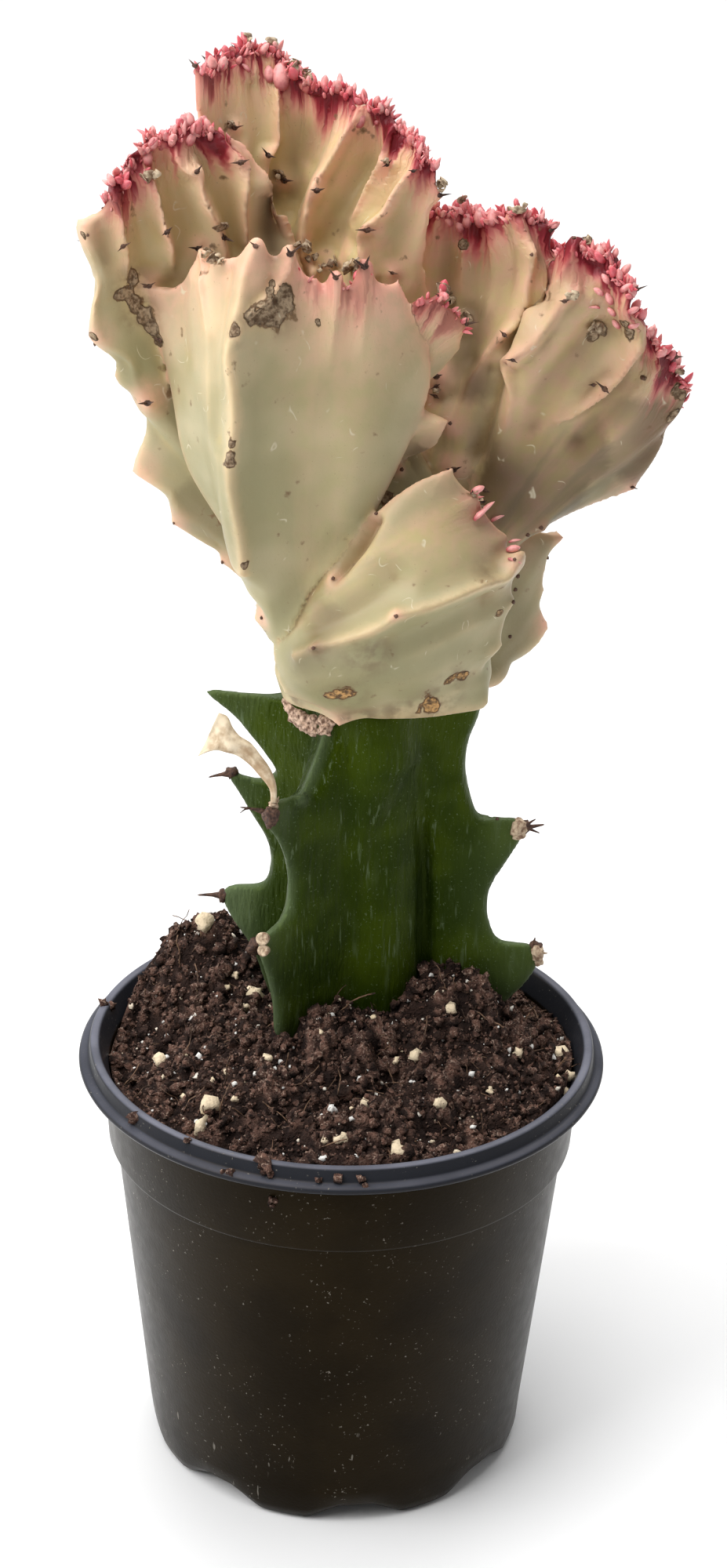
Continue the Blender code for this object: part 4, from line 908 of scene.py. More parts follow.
def fan_sheet(ribs, foot_half, margin_half, dip, red, wave):
    """One fan as a closed sheet, where its points lie on it, and its margin.

    The second result has a row per point: distance along the margin, distance below it, closeness to a rib,
    distance in from the fan's sides and how red the margin is there. The third has margin points, the way they
    grow, the way they face and how red they are.
    """
    columns = (len(ribs) - 1) * RIB_COLUMNS + 1
    at = np.arange(columns) / RIB_COLUMNS
    valley = 4 * (at % 1) * (1 - at % 1)
    rise = 1 - (1 - np.linspace(0, 1, FAN_ROWS)) ** 1.25
    along_ribs = np.stack([smooth_curve(rib, at_fractions(rib, rise)) for rib in ribs])
    middle = np.stack([smooth_curve(along_ribs[:, row], at) for row in range(FAN_ROWS)], axis=1)
    root = middle[:, :1]
    scallop = dip * valley[:, None] ** 0.6 * ease(rise, 0.55, 1)[None]
    middle = root + (middle - root) * (1 - scallop[..., None])
    normal = np.cross(np.gradient(middle, axis=0), np.gradient(middle, axis=1))
    normal /= np.linalg.norm(normal, axis=2, keepdims=True) + TINY
    along = run_lengths(middle[:, -1])
    reached = run_lengths(middle, 1)
    below = reached[:, -1:] - reached
    from_side = run_lengths(middle)
    in_from_side = np.minimum(from_side, from_side[-1:] - from_side)
    waving = wave * np.sin(along / 2.6)[:, None] * ease(-below, -14, 0)
    middle = middle + normal * waving[..., None]
    side = at / at[-1]
    edge = np.sqrt(np.clip(1 - np.abs(2 * side - 1) ** 7, 0, 1))
    half = (foot_half + (margin_half - foot_half) * rise[None] ** 0.8) * edge[:, None]
    half = half * (1 - VALLEY_PINCH * valley[:, None] * np.minimum(1, 2 * rise[None]))
    half = half * np.sqrt(np.clip(1 - np.clip(1 - below / 1.8, 0, 1) ** 2, 0, 1))
    half = np.maximum(half, 0.3)
    loop = np.concatenate([middle + normal * half[..., None], (middle - normal * half[..., None])[::-1]])
    verts = loop.transpose(1, 0, 2).reshape(-1, 3)
    around = len(loop)
    faces = ring_faces(around, FAN_ROWS)
    top = (FAN_ROWS - 1) * around
    for k in range(columns - 1):
        twin = around - 1 - k
        faces.append([k, twin, twin - 1, k + 1])
        faces.append([top + k, top + k + 1, top + twin - 1, top + twin])
    redness = np.interp(at, np.arange(len(ribs)), red)
    where = rows_of(along[:, None], below, 1 - valley[:, None], in_from_side, redness[:, None])
    where = np.concatenate([where, where[::-1]]).transpose(1, 0, 2).reshape(-1, 5)
    growing = middle[:, -1] - middle[:, -8]
    growing /= np.linalg.norm(growing, axis=1, keepdims=True)
    return verts, faces, where, (middle[:, -1], growing, normal[:, -4], redness)


def neck_body():
    """The crest's round base."""
    heights = np.arange(NECK[0][0], NECK[-1][0] + 0.1, 1.0)
    x, y, half_widths, half_depths = (np.interp(heights, [ring[0] for ring in NECK], [ring[k] for ring in NECK])
                                      for k in range(1, 5))
    return stacked_rings([level_ring(*sizes, all_round(NECK_SIDES))
                          for sizes in zip(x, y, heights, half_widths, half_depths)])


def behind_base(skin, fan):
    """Share of each point in the zone behind, where the rear lobe grows out of the base."""
    _, depths, heights = skin.points.T
    zone = ease(depths, *ZONE_DEPTH) * ease(heights, *ZONE_FOOT) * ease(-heights, *ZONE_TOP)
    own_skin = relax(1.0 * np.isin(fan, (BASE, REAR))[:, None], skin.ends, 5)[:, 0]
    return zone * ease(own_skin, 0.6, 1.0)


def make_crest():
    """The whole crest as one grown skin, and the margins of its fans."""
    bodies = [neck_body()]
    spots = [bodies[0][0]]
    facts = [np.tile([0.0, 80.0, 0.0, 30.0, 0.1, BASE], (len(bodies[0][0]), 1))]
    facts[0][:, 4] += 0.75 * ease(spots[0][:, 1], 3, 12) * ease(spots[0][:, 2], 188, 212)
    facts[0][facts[0][:, 4] > 0.3, 5] = REAR
    margins = []
    for k, (ribs, foot_half, margin_half, dip, red, wave) in enumerate(FANS):
        verts, faces, where, margin = fan_sheet(ribs, foot_half, margin_half, dip, red, wave)
        bodies.append((verts, faces))
        spots.append(verts)
        facts.append(np.concatenate([where, np.full((len(verts), 1), float(k))], axis=1))
        margins.append(margin)
    spots, facts = np.concatenate(spots), np.concatenate(facts)
    mesh = grown_together("crest_skin", bodies, SKIN_GRID)
    points = relax(points_of(mesh), edge_ends(mesh), 4)
    points[:, 2] = np.maximum(points[:, 2], GRAFT_HEIGHT + 0.3)
    place_points(mesh, points)
    skin = Skin(mesh)
    near = points_tree(spots)
    own = facts[[near.find(point)[1] for point in points]]
    keep_vectors(mesh, "growth", own[:, [0, 1, 5]])
    keep_colours(mesh, "tint", rows_of(own[:, 2], own[:, 3] / SIDE_SCALE, own[:, 4], 1))
    calm = ease(own[:, 1], 3, 8) * ease(own[:, 3], 3, 8) * np.isin(own[:, 5], CALM_FANS)
    skin.shift((relax(skin.points, skin.ends, CALM_PASSES) - skin.points) * calm[:, None])
    skin.shift((relax(skin.points, skin.ends, ZONE_PASSES) - skin.points) * behind_base(skin, own[:, 5])[:, None])
    fold_margins(skin)
    skin.renew()
    raise_ridges(skin)
    pleat_backs(skin, own)
    skin.renew()
    draw_teeth(skin)
    mesh = modified(mesh, "DECIMATE", ratio=SKIN_SHARE)
    growth = read_rows(mesh.attributes["growth"].data, "vector", 3)
    kept = read_rows(mesh.attributes["tint"].data, "color", 4)
    skin = Skin(mesh)
    own = rows_of(growth[:, 0], growth[:, 1], kept[:, 0], kept[:, 1] * SIDE_SCALE, kept[:, 2], growth[:, 2])
    keep_colours(mesh, "tint", painted(skin, own))
    keep_colours(mesh, "age_and_shade", aged_and_shaded(skin, own))
    return skin, margins


def fold_margins(skin):
    """Draws the margins of the fans in or out where they fold."""
    moves = np.zeros_like(skin.points)
    for u, v, to_u, to_v, wide in FOLDS:
        place, _, _ = skin.seen(u, v)
        move = beside(place, to_u, to_v) - place
        far = np.linalg.norm(skin.points - place, axis=1)
        moves += move * (np.clip(1 - far / (wide + 0.8 * np.linalg.norm(move)), 0, 1) ** 1.5)[:, None]
    skin.shift(moves)


def raise_ridges(skin):
    """Raises the ridges of the fans and hollows the skin between them. The rosy ridges are steep on their right."""
    moves = np.zeros_like(skin.points)
    for pixels, heights, wide, rosy in RIDGES:
        chosen, far, along, facing, spots = skin.near_line(pixels, wide)
        if rosy >= 0.6:
            far = skin.steep_on_right(chosen, far, spots, 1.3, wide)
        share = 0.75 * (1 - far / wide) ** 2.2 + 0.25 * np.exp(-(far / 0.9) ** 2)
        height = np.interp(along, np.linspace(0, 1, len(heights)), heights)
        lift = height * share * ease(facing, 0, 0.5)
        move = skin.normals[chosen] * lift[:, None]
        larger = np.linalg.norm(moves[chosen], axis=1) < np.abs(lift)
        moves[chosen[larger]] = move[larger]
    for pixels, depths, wide, _ in HOLLOWS:
        chosen, far, along, facing, _ = skin.near_line(pixels, wide)
        share = ease(wide - far, 0, wide)
        depth = np.interp(along, np.linspace(0, 1, len(depths)), depths)
        moves[chosen] -= skin.normals[chosen] * (depth * share * ease(facing, 0, 0.5))[:, None]
    skin.shift(moves)


def pleat_backs(skin, own):
    """Raises the ribs of the fans on the sides that face away from the camera."""
    back = ease(skin.normals[:, 1], 0.05, 0.45) * np.isin(own[:, 5], PLEATED_FANS)
    run = ease(own[:, 1], 1.0, 4.0) * ease(-own[:, 1], -62, -26)
    lift = relax((PLEAT_HEIGHT * (own[:, 2] ** 3 - 0.25) * back * run)[:, None], skin.ends, 5)
    skin.shift(skin.normals * lift)


def draw_teeth(skin):
    """Draws the skin out to the tips of teeth and spurs."""
    moves = np.zeros_like(skin.points)
    for u, v, reach, wide in TEETH:
        place, normal, aside = skin.seen(u, v)
        gap = np.linalg.norm(aside)
        pull = aside * (1 + 0.5 / gap) if gap > 0.3 else normal * reach
        far = np.linalg.norm(skin.points - place, axis=1)
        share = np.clip(1 - far / (wide + 0.4 * np.linalg.norm(pull)), 0, 1) ** 1.8
        moves += pull * share[:, None]
    skin.shift(moves)


def stroked(skin, strokes, reach, fade=0.0):
    """The strongest of a set of strokes at each point, fading over reach times their width and along them."""
    shares = np.zeros(len(skin.points))
    for pixels, _, wide, strength in strokes:
        chosen, far, along, facing, _ = skin.near_line(pixels, wide * reach)
        share = strength * ease(wide * reach - far, 0, wide * reach) * ease(facing, -0.2, 0.4) * (1 - fade * along)
        share = share * np.clip(6 * np.minimum(along, 1 - along) + 0.3, 0, 1)
        shares[chosen] = np.maximum(shares[chosen], share)
    return shares


def spotted(skin, spots):
    """The strongest of a set of round spots at each point; a spot is a pixel and a half width."""
    shares = np.zeros(len(skin.points))
    for u, v, wide in spots:
        far = np.linalg.norm(skin.points - skin.seen(u, v)[0], axis=1)
        shares = np.maximum(shares, np.clip(1 - far / wide, 0, 1))
    return shares


def painted(skin, own):
    """Shares of rosy flush with painted highlight, margin red, yellow tint with painted highlight, and painted shade in
    the valleys for each point of the crest.
    """
    _, below, _, in_from_side, red, fan = own.T
    red = red + (relax(red[:, None], skin.ends, RED_PASSES)[:, 0] - red) * behind_base(skin, fan)
    flush_and_highlight = 0.5 * np.exp(-in_from_side / 1.3) + 0.9 * np.minimum(red, 0.8) * np.exp(-below / 8.0)
    flush_and_highlight += np.where(fan == FRONT, 0.6 * np.exp(-below / 9.0), 0)
    # Rosy ridges add flush that is partly painted highlight.
    flush_and_highlight = np.maximum(flush_and_highlight, stroked(skin, RIDGES, 0.6, 0.65))
    # Every ridge gets a painted yellow highlight.
    yellow_and_highlight = 0.8 * stroked(skin, RIDGES, 1.3) + 0.15 * ease(red, 0.3, 0.9)
    flush_and_highlight = np.maximum(flush_and_highlight, 0.8 * spotted(skin, [(u, v, wide) for u, v, _, wide in TEETH]))
    # Convex places get painted highlight in the flush and the yellow; concave places get painted shade below.
    soft = relax(skin.points, skin.ends, 12)
    bulge = relax(np.einsum("ij,ij->i", skin.points - soft, skin.normals)[:, None], skin.ends, 1)[:, 0]
    flush_and_highlight = np.maximum(flush_and_highlight, np.where(np.isin(fan, PLEATED_FANS), 0.5, 0.1) * np.clip((bulge - 0.16) / 0.3, 0, 1))
    yellow_and_highlight = np.maximum(yellow_and_highlight, 0.6 * np.clip((bulge - 0.07) / 0.2, 0, 1))
    # Hollow strokes and concave places are darkened as painted shade.
    shade = np.maximum(0.9 * stroked(skin, HOLLOWS, 1.2), np.clip((-bulge - 0.05) / 0.2, 0, 1))
    return np.clip(relax(rows_of(flush_and_highlight, red, yellow_and_highlight, shade), skin.ends, 2), 0, 1)


def aged_and_shaded(skin, own):
    """How corky or smudged each point of the crest is, and how much painted shade darkens it. The right lobe is painted
    darker as shade.
    """
    cork, smudge = spotted(skin, SCARS), spotted(skin, SMUDGES)
    cast_shade = stroked(skin, [(pixels, 0, wide, strength) for pixels, wide, strength in SHADOWED_PARTS], 1.0)
    shaded = relax(SHADED_SHARE * (own[:, 5:6] == SHADED_FAN), skin.ends, 8)[:, 0]
    return rows_of(cork, smudge, np.maximum(cast_shade, shaded), 1)


def spine_pattern(length, spread, bend):
    """A woody shield with two spines that part over it."""
    shield = leaf_pattern([(-0.5, 0.35), (-0.2, 0.75), (0.15, 0.7), (0.4, 0.35)], 7, 0.8, 0)
    spines = [stacked_rings([level_ring(sign * (0.2 + (spread * share + bend * share**2)), 0, share * length,
                                        half, half, all_round(5))
                             for share, half in ((0, 0.34), (0.35, 0.26), (0.7, 0.15), (1, 0.02))])
              for sign in (1, -1)]
    return together([shield, *spines])


def make_spines(skin):
    """The paired spines of the crest, on its teeth and spurs."""
    draw = random.Random(3)
    patterns = [spine_pattern(3.0, 0.9, 0.4), spine_pattern(2.2, 1.1, 0.6), spine_pattern(1.3, 0.8, 0.5),
                lump_pattern(4, 1, 0.5, 0.7)]
    places = []
    for u, v, size in SPINES:
        place, normal, _ = skin.seen(u, v)
        way = Vector(normal) * 0.8 + Vector((0, -0.25, 0.35))
        kind = draw.choice((0, 0, 1)) if size >= 1 else draw.choice((1, 2)) if size > 0.65 else 3
        turn = draw.uniform(-0.7, 0.7)
        places.append((kind, place + normal * 0.1, way, turn, size * draw.uniform(0.85, 1.1) * (1, 0.75)[kind == 3],
                       draw.uniform(0, 1) + (kind == 3)))
    for ribs in (FANS[k][0] for k in PLEATED_FANS):
        for rib in ribs[1:-1]:
            for share in (draw.uniform(0.86, 0.94), draw.uniform(0.55, 0.72)):
                spot = smooth_curve(rib, np.array([share * (len(rib) - 1)]))[0]
                hit = skin.tree.ray_cast(Vector(spot) + Vector((0, 60, 0)), Vector((0, -1, 0)))[0]
                if hit is not None:
                    normal = skin.normal_at(hit)
                    way = Vector(normal) * 0.8 + Vector((0, 0.25, 0.35))
                    places.append((draw.choice((0, 1, 2)), np.array(hit) + normal * 0.1, way,
                                   draw.uniform(-0.7, 0.7), draw.uniform(0.6, 1.0), draw.uniform(0, 1)))
    return tinted_mesh("spines", *scattered(patterns, places))


def make_buds(skin, margins):
    """Young leaves crowded along the growing margins."""
    draw = random.Random(11)
    slender = leaf_pattern([(0, 0.1), (0.15, 0.17), (0.4, 0.21), (0.68, 0.17), (0.88, 0.09), (1, 0.02)], 7, 0.55, 0.3)
    broad = leaf_pattern([(0, 0.12), (0.15, 0.24), (0.42, 0.32), (0.7, 0.26), (0.9, 0.13), (1, 0.03)], 7, 0.5, 0.45)
    plump = leaf_pattern([(0, 0.12), (0.15, 0.24), (0.42, 0.31), (0.7, 0.28), (0.9, 0.16), (1, 0.05)], 7, 0.85, 0.05)
    stub = leaf_pattern([(0, 0.26), (0.3, 0.36), (0.65, 0.34), (0.88, 0.2), (1, 0.05)], 6, 0.8, 0.1)
    places = []
    for line, growing, facing, red in margins:
        for _ in range(int(step_lengths(line).sum() * BUDS_PER_MM)):
            k = draw.randrange(1, len(line) - 1)
            if draw.random() > (red[k] - 0.5) * 2:
                continue
            side = draw.uniform(-1, 1)
            aim = line[k] + facing[k] * side * 2.0 - growing[k] * abs(side) * draw.uniform(0, 2.2)
            place = skin.tree.find_nearest(aim)[0]
            way = (Vector(growing[k]) + Vector(facing[k]) * side * 0.9
                   + Vector([draw.uniform(-0.55, 0.55) for _ in range(3)]))
            size = draw.choice((0.9, 1.2, 1.4, 1.6, 1.9, 2.2, 2.8))
            places.append((draw.choice((0, 0, 1, 1, 2, 3)), np.array(place) - np.array(way.normalized()) * 0.25, way,
                           draw.uniform(0, 6.3), size, draw.uniform(0, 1)))
    for u, v, up_u, up_v, plumpness in LARGE_BUDS:
        place, normal, _ = skin.seen(u, v)
        tip = beside(place, up_u, up_v)
        way = tip - place
        places.append((2 * plumpness, place + normal * 0.4, way + normal * 0.2, 0.0, np.linalg.norm(way), 0.9))
    return tinted_mesh("buds", *scattered([slender, broad, plump, stub], places))


def curl_pattern(turns, wide):
    """A shrivelled strip of dead leaf, rolled up at its end."""
    steps = np.linspace(0, 1, 7)
    middle = []
    for s in steps:
        angle = turns * 2 * np.pi * s
        reach = 1.0 - 0.6 * s
        middle.append((0.2 * math.sin(9 * s), reach * math.sin(angle) * 0.8,
                       1.3 * s + 0.5 * reach * (1 - math.cos(angle))))
    middle = np.array(middle)
    half = wide * (0.35 + 0.65 * np.sin(np.pi * steps**0.8))
    rings = []
    for point, w in zip(middle, half):
        rings.append(np.array([point + (w, 0, 0.07), point + (0, 0, 0.12), point + (-w, 0, 0.07),
                               point + (-w, 0, -0.07), point + (0, 0, -0.04), point + (w, 0, -0.07)]))
    return stacked_rings(rings)


def make_curls(skin):
    """Dead leaf bits that still cling to the crest."""
    draw = random.Random(5)
    patterns = [curl_pattern(0.6, 0.8), curl_pattern(0.9, 0.6), curl_pattern(0.35, 1.1)]
    places = []
    for u, v, size in DEAD_LEAVES:
        for _ in range(3):
            place, normal, _ = skin.seen(u + draw.uniform(-5, 5), v + draw.uniform(-3, 3))
            way = Vector(normal) * 0.6 + Vector((draw.uniform(-0.7, 0.7), -0.1, 0.8))
            places.append((draw.randrange(3), place + normal * 0.2, way, draw.uniform(0, 6.3),
                           size * draw.uniform(0.7, 1.2), draw.uniform(0, 1)))
    return tinted_mesh("curls", *scattered(patterns, places))


# Green stem


def wing_sheet(bearing, low_flank, outline):
    """One wing of the stem as a closed blade, thick at the core and thin at its toothed edge."""
    outline = np.asarray(outline, float)
    for _ in range(2):
        quarter = outline[:-1] * 0.75 + outline[1:] * 0.25
        three = outline[:-1] * 0.25 + outline[1:] * 0.75
        outline = np.concatenate([outline[:1], np.stack([quarter, three], axis=1).reshape(-1, 2), outline[-1:]])
    at = at_fractions(outline, np.linspace(0, 1, int(step_lengths(outline).sum() / 0.6)))
    line = np.stack([np.interp(at, np.arange(len(outline)), outline[:, k]) for k in range(2)], axis=1)
    count = len(line)
    reach, height = line.T
    level = np.linspace(height[0], height[-1], count)
    share = np.linspace(0, 1, 26)
    across = 1 + (reach[:, None] - 1) * share[None]
    lift = level[:, None] * (1 - share[None]) + height[:, None] * share[None]
    order = np.argsort(height)
    broad = np.convolve(np.pad(np.interp(level, height[order], reach[order]), 22, mode="edge"),
                        np.ones(45) / 45, mode="valid")
    base = np.interp(lift, level[::-1], broad[::-1])
    flank = np.interp(lift, (143, 160), (low_flank, WING_FLANK))
    half = WING_EDGE + flank * np.clip(1 - (across - 7) / (base - 6), 0, 1) ** 1.15
    half = half * np.sqrt(np.clip(1 - np.clip(1 - (reach[:, None] - across) / 1.3, 0, 1) ** 2, 0.02, 1))
    turn = math.radians(bearing)
    out = np.array([math.cos(turn), math.sin(turn), 0])
    sideways = np.array([-math.sin(turn), math.cos(turn), 0])
    middle = (np.array([STEM_X, STEM_Y, 0]) + across[..., None] * out
              + lift[..., None] * np.array([0, 0, 1.0]))
    loop = np.concatenate([middle + sideways * half[..., None], (middle - sideways * half[..., None])[:, ::-1]], axis=1)
    return stacked_rings(list(loop))


def make_stem():
    """The winged green stem, cut flat on top for the graft."""
    heights = np.arange(STEM_FOOT, GRAFT_HEIGHT + 0.1, 1.0)
    columns = []
    for shape in (STEM_CORE, STEM_FRONT):
        x, y, radii = (np.interp(heights, [ring[0] for ring in shape], [ring[k] for ring in shape]) for k in (1, 2, 3))
        columns.append(stacked_rings([level_ring(*sizes, all_round(STEM_SIDES))
                                      for sizes in zip(x, y, heights, radii, radii)]))
    mesh = grown_together("stem_skin", [*columns, *[wing_sheet(*wing) for wing in WINGS]], STEM_GRID)
    points = relax(points_of(mesh), edge_ends(mesh), 5)
    points[:, 2] = np.minimum(points[:, 2], GRAFT_HEIGHT - 0.1)
    place_points(mesh, points)
    skin = Skin(mesh)
    chosen, far, along, facing, spots = skin.near_line(STEM_CREASE, CREASE_WIDE)
    far = skin.steep_on_right(chosen, far, spots, 0.9, CREASE_WIDE)
    crease_and_shade = (1 - far / CREASE_WIDE) ** 1.5 * ease(along, 0, 0.5) * ease(facing, -0.2, 0.3)
    moves = np.zeros_like(skin.points)
    moves[chosen] = skin.normals[chosen] * (-CREASE_DEEP * crease_and_shade)[:, None]
    # The crease is also darkened with painted shade, kept in the tint.
    dark = np.zeros(len(skin.points))
    dark[chosen] = crease_and_shade
    edge = np.zeros(len(skin.points))
    for pixels, height, wide in STEM_EDGES:
        chosen, far, along, facing, _ = skin.near_line(pixels, wide)
        share = (1 - far / wide) ** 1.5 * ease(facing, 0, 0.5) * ease(np.minimum(along, 1 - along), 0, 0.12)
        moves[chosen] += skin.normals[chosen] * (height * share)[:, None]
        edge[chosen] = np.maximum(edge[chosen], share)
    skin.shift(moves)
    skin.renew()
    from_x, from_y = skin.points[:, 0] - STEM_X, skin.points[:, 1] - STEM_Y
    for bearing, _, _ in WINGS:
        turn = math.radians(bearing)
        across = from_x * math.cos(turn) + from_y * math.sin(turn)
        aside = -from_x * math.sin(turn) + from_y * math.cos(turn)
        edge = np.maximum(edge, np.exp(-(np.abs(aside) / 1.2) ** 2) * ease(across, 14, 19))
    keep_colours(mesh, "tint", rows_of(edge, 0, dark, 1))
    return skin


def bent_spike(start, end, thick, sag):
    """A thin woody spike from one place to another."""
    start, end = np.array(start), np.array(end)
    way = Vector(end - start).normalized()
    turned = turned_to(way, 0)
    rings = []
    for share, half in ((0, 1.0), (0.15, 0.8), (0.4, 0.45), (0.7, 0.3), (0.92, 0.2), (1, 0.05)):
        middle = start + (end - start) * share + np.array([0, 0, -sag * math.sin(math.pi * share)])
        rings.append(level_ring(0, 0, 0, thick * half, thick * half, all_round(6)) @ turned.T + middle)
    return stacked_rings(rings)


def make_stem_tips(stem):
    """Woody shields, spines and cut stubs at the teeth of the stem."""
    draw = random.Random(2)
    dark, pale = [], []
    lumps = [lump_pattern(k + 40, 3, 0.5) for k in range(3)]
    for u, v, size, kind in STEM_SHIELDS:
        place = stem.seen(u, v)[0]
        verts, faces = lumps[draw.randrange(3)]
        verts = (verts * (size, size * 0.9, size * 1.15)) @ turned_to((0, -0.2, 1), draw.uniform(0, 6)).T + place
        (pale if kind else dark).append((verts, faces))
    for u, v, to_u, to_v, thick, kind in STEM_SPIKES:
        place = stem.seen(u, v)[0]
        end = beside(place, to_u, to_v) + np.array([0, -1.0, 0])
        (pale if kind else dark).append(bent_spike(place, end, thick, draw.uniform(-0.3, 0.3)))
    for u, v, radius in CUT_STUBS:
        place = stem.seen(u, v)[0]
        way = turned_to((-0.25, -0.9, 0.35), 0)
        pale.append(stacked_rings([level_ring(0, 0, height, radius * half, radius * half, all_round(16)) @ way.T + place
                                   for height, half in STUB_PROFILE]))
    meshes = []
    for name, bodies in (("dark_tips", dark), ("pale_tips", pale)):
        verts, faces = together(bodies)
        meshes.append(tinted_mesh(name, verts, faces, np.tile(EVEN_TINT, (len(verts), 1))))
    return meshes


def make_dried_leaf(stem):
    """The withered leaf that hangs on a tooth: narrow stalk, flared and curled end."""
    place, _, _ = stem.seen(*DRIED_LEAF_UPPER[0])
    place = place + np.array([0, -1.2, 0])
    rows, columns = 46, 15
    at = np.linspace(0, len(DRIED_LEAF_UPPER) - 1, rows)
    upper = smooth_curve([beside(place, *pixel) for pixel in DRIED_LEAF_UPPER], at)
    lower = smooth_curve([beside(place, *pixel) for pixel in DRIED_LEAF_LOWER], at)
    share = np.linspace(0, 1, columns)
    grid = upper[:, None] * (1 - share[None, :, None]) + lower[:, None] * share[None, :, None]
    width = np.linalg.norm(upper - lower, axis=1)
    along = np.linspace(0, 1, rows)
    arch = np.sin(np.pi * share)[None] * width[:, None] * 0.28
    furl = np.sin(2 * np.pi * share)[None] * width[:, None] * 0.10 * ease(along, 0.5, 1)[:, None]
    ripple = np.array([[noise.noise(Vector((a * 9, s * 2.2 * w**0.5, 3))) for s in share]
                       for a, w in zip(along, width)])
    depth = arch * (1 - 1.7 * ease(along, 0.62, 1)[:, None]) + furl + ripple * 0.5 * np.minimum(1, width / 3)[:, None]
    toward = toward_camera()
    grid = grid + toward * depth[..., None]
    half = 0.16 + 0.25 * (1 - ease(along, 0, 0.3))[:, None, None]
    edge = (1 - np.abs(2 * share - 1) ** 6)[None, :, None]
    front, back = grid + toward * half * (0.35 + 0.65 * edge), grid - toward * half * (0.35 + 0.65 * edge)
    loop = np.concatenate([front, back[:, ::-1]], axis=1)
    verts, faces = stacked_rings(list(loop))
    tones = np.repeat(along, 2 * columns)
    return tinted_mesh("dried_leaf_skin", verts, faces, rows_of(tones, tones, 0, 1))


def make_callus(stem, skin):
    """The crust of dried tissue at the left front of the graft."""
    draw = random.Random(9)
    bodies = []
    path = smooth_curve([(*pixel, 0.0) for pixel in CALLUS], np.linspace(0, len(CALLUS) - 1, CALLUS_LUMPS))
    for k, (u, v, _) in enumerate(path):
        u, v = u + draw.uniform(-2, 2), v + draw.uniform(-3, 3)
        hits = [tree.ray_cast(*sight(u, v))[0] for tree in (stem.tree, skin.tree)]
        hits = [hit for hit in hits if hit]
        if not hits:
            continue
        place = np.array(min(hits, key=lambda hit: (hit - sight(u, v)[0]).length))
        size = draw.uniform(0.5, 1.05)
        verts, faces = lump_pattern(k % 9 + 60, 3, 0.9)
        bodies.append((verts * size * (1, 1, 0.8) + place, faces))
    mesh = grown_together("callus_skin", bodies, CALLUS_GRID)
    keep_colours(mesh, "tint", np.tile(EVEN_TINT, (len(mesh.vertices), 1)))
    return mesh


# Soil


def soil_base(x, y):
    from_axis = math.hypot(x, y)
    height = SOIL_AT_RIM + SOIL_HEAP * max(0, 1 - (from_axis / 50) ** 2)
    for bump_x, bump_y, rise, spread in SOIL_BUMPS:
        height += rise * math.exp(-((x - bump_x) ** 2 + (y - bump_y) ** 2) / (2 * spread**2))
    return height


def soil_height(x, y):
    """Height of the crumbly soil."""
    spot = Vector((x, y, 0))
    lumpy = abs(noise.noise(spot / 8.5)) * 6.5 - 2.4
    clods = abs(noise.noise(spot / 4.2 + Vector((3, 5, 0)))) * 4.4 - 1.6
    crumbs = abs(noise.noise(spot / 2.0 + Vector((7, 0, 0)))) * 2.4 - 0.9
    grains = abs(noise.noise(spot / 1.0 + Vector((0, 9, 0)))) * 1.1 - 0.4
    pits = -3.5 * max(0, noise.noise(spot / 7 + Vector((1, 2, 8))) - 0.28) / 0.3
    inside = min(1, max(0, (50.5 - math.hypot(x, y)) / 3))
    return soil_base(x, y) + (lumpy + clods + crumbs + grains + pits) * (0.25 + 0.75 * inside)


def make_soil():
    turns = all_round(SOIL_SIDES)
    rings = [level_ring(0, 0, height, radius, radius, turns) for radius, height in SOIL_WALL]
    for radius in np.arange(SOIL_WALL[-1][0], 0.5, -SOIL_STEP):
        rings.append(np.array([(radius * math.cos(t), radius * math.sin(t),
                                soil_height(radius * math.cos(t), radius * math.sin(t))) for t in turns]))
    verts, faces = stacked_rings(rings)
    above = np.array([z - soil_base(x, y) for x, y, z in verts])
    # The tint keeps how high each point stands above the heap's base; the finish darkens the low ones as painted shade.
    return tinted_mesh("soil", verts, faces, rows_of(0.5, ease(above, -3.2, 2.0), 0, 1))


def strew(ground, draw, count, sizes, kinds, sink, reach=50.0):
    """Places for loose bits all over the soil."""
    places = []
    for _ in range(count):
        turn, radius = draw.uniform(0, 2 * math.pi), reach * math.sqrt(draw.random())
        x, y = radius * math.cos(turn), radius * math.sin(turn)
        hit = ground.ray_cast(Vector((x, y, 160)), Vector((0, 0, -1)))
        if hit[0] is None:
            continue
        size = draw.choice(sizes) * draw.uniform(0.8, 1.2)
        if math.hypot(x, y) + size > SOIL_EDGE:
            continue
        way = [draw.uniform(-1, 1) for _ in range(3)]
        places.append((draw.randrange(kinds), np.array(hit[0]) + (0, 0, sink * size), way,
                       draw.uniform(0, 6.3), size, draw.random()))
    return places


def make_crumbs(ground):
    draw = random.Random(21)
    patterns = [lump_pattern(k, 0, 1.3) for k in range(10)]
    places = strew(ground, draw, CRUMBS, CRUMB_SIZES, 10, 0.2)
    for u, v, size in SPILT_CRUMBS:
        hit = pot_tree.ray_cast(*sight(u, v))[0]
        if hit:
            places.append((draw.randrange(10), np.array(hit), (0, 0, 1), draw.uniform(0, 6), size, draw.random()))
    return tinted_mesh("crumbs", *scattered(patterns, places))


def make_dust(ground):
    """The finest grains of the peat."""
    draw = random.Random(77)
    patterns = [lump_pattern(k + 40, 1, 1.2) for k in range(8)]
    return tinted_mesh("peat_grains", *scattered(patterns, strew(ground, draw, GRAINS, GRAIN_SIZES, 8, 0.3)))


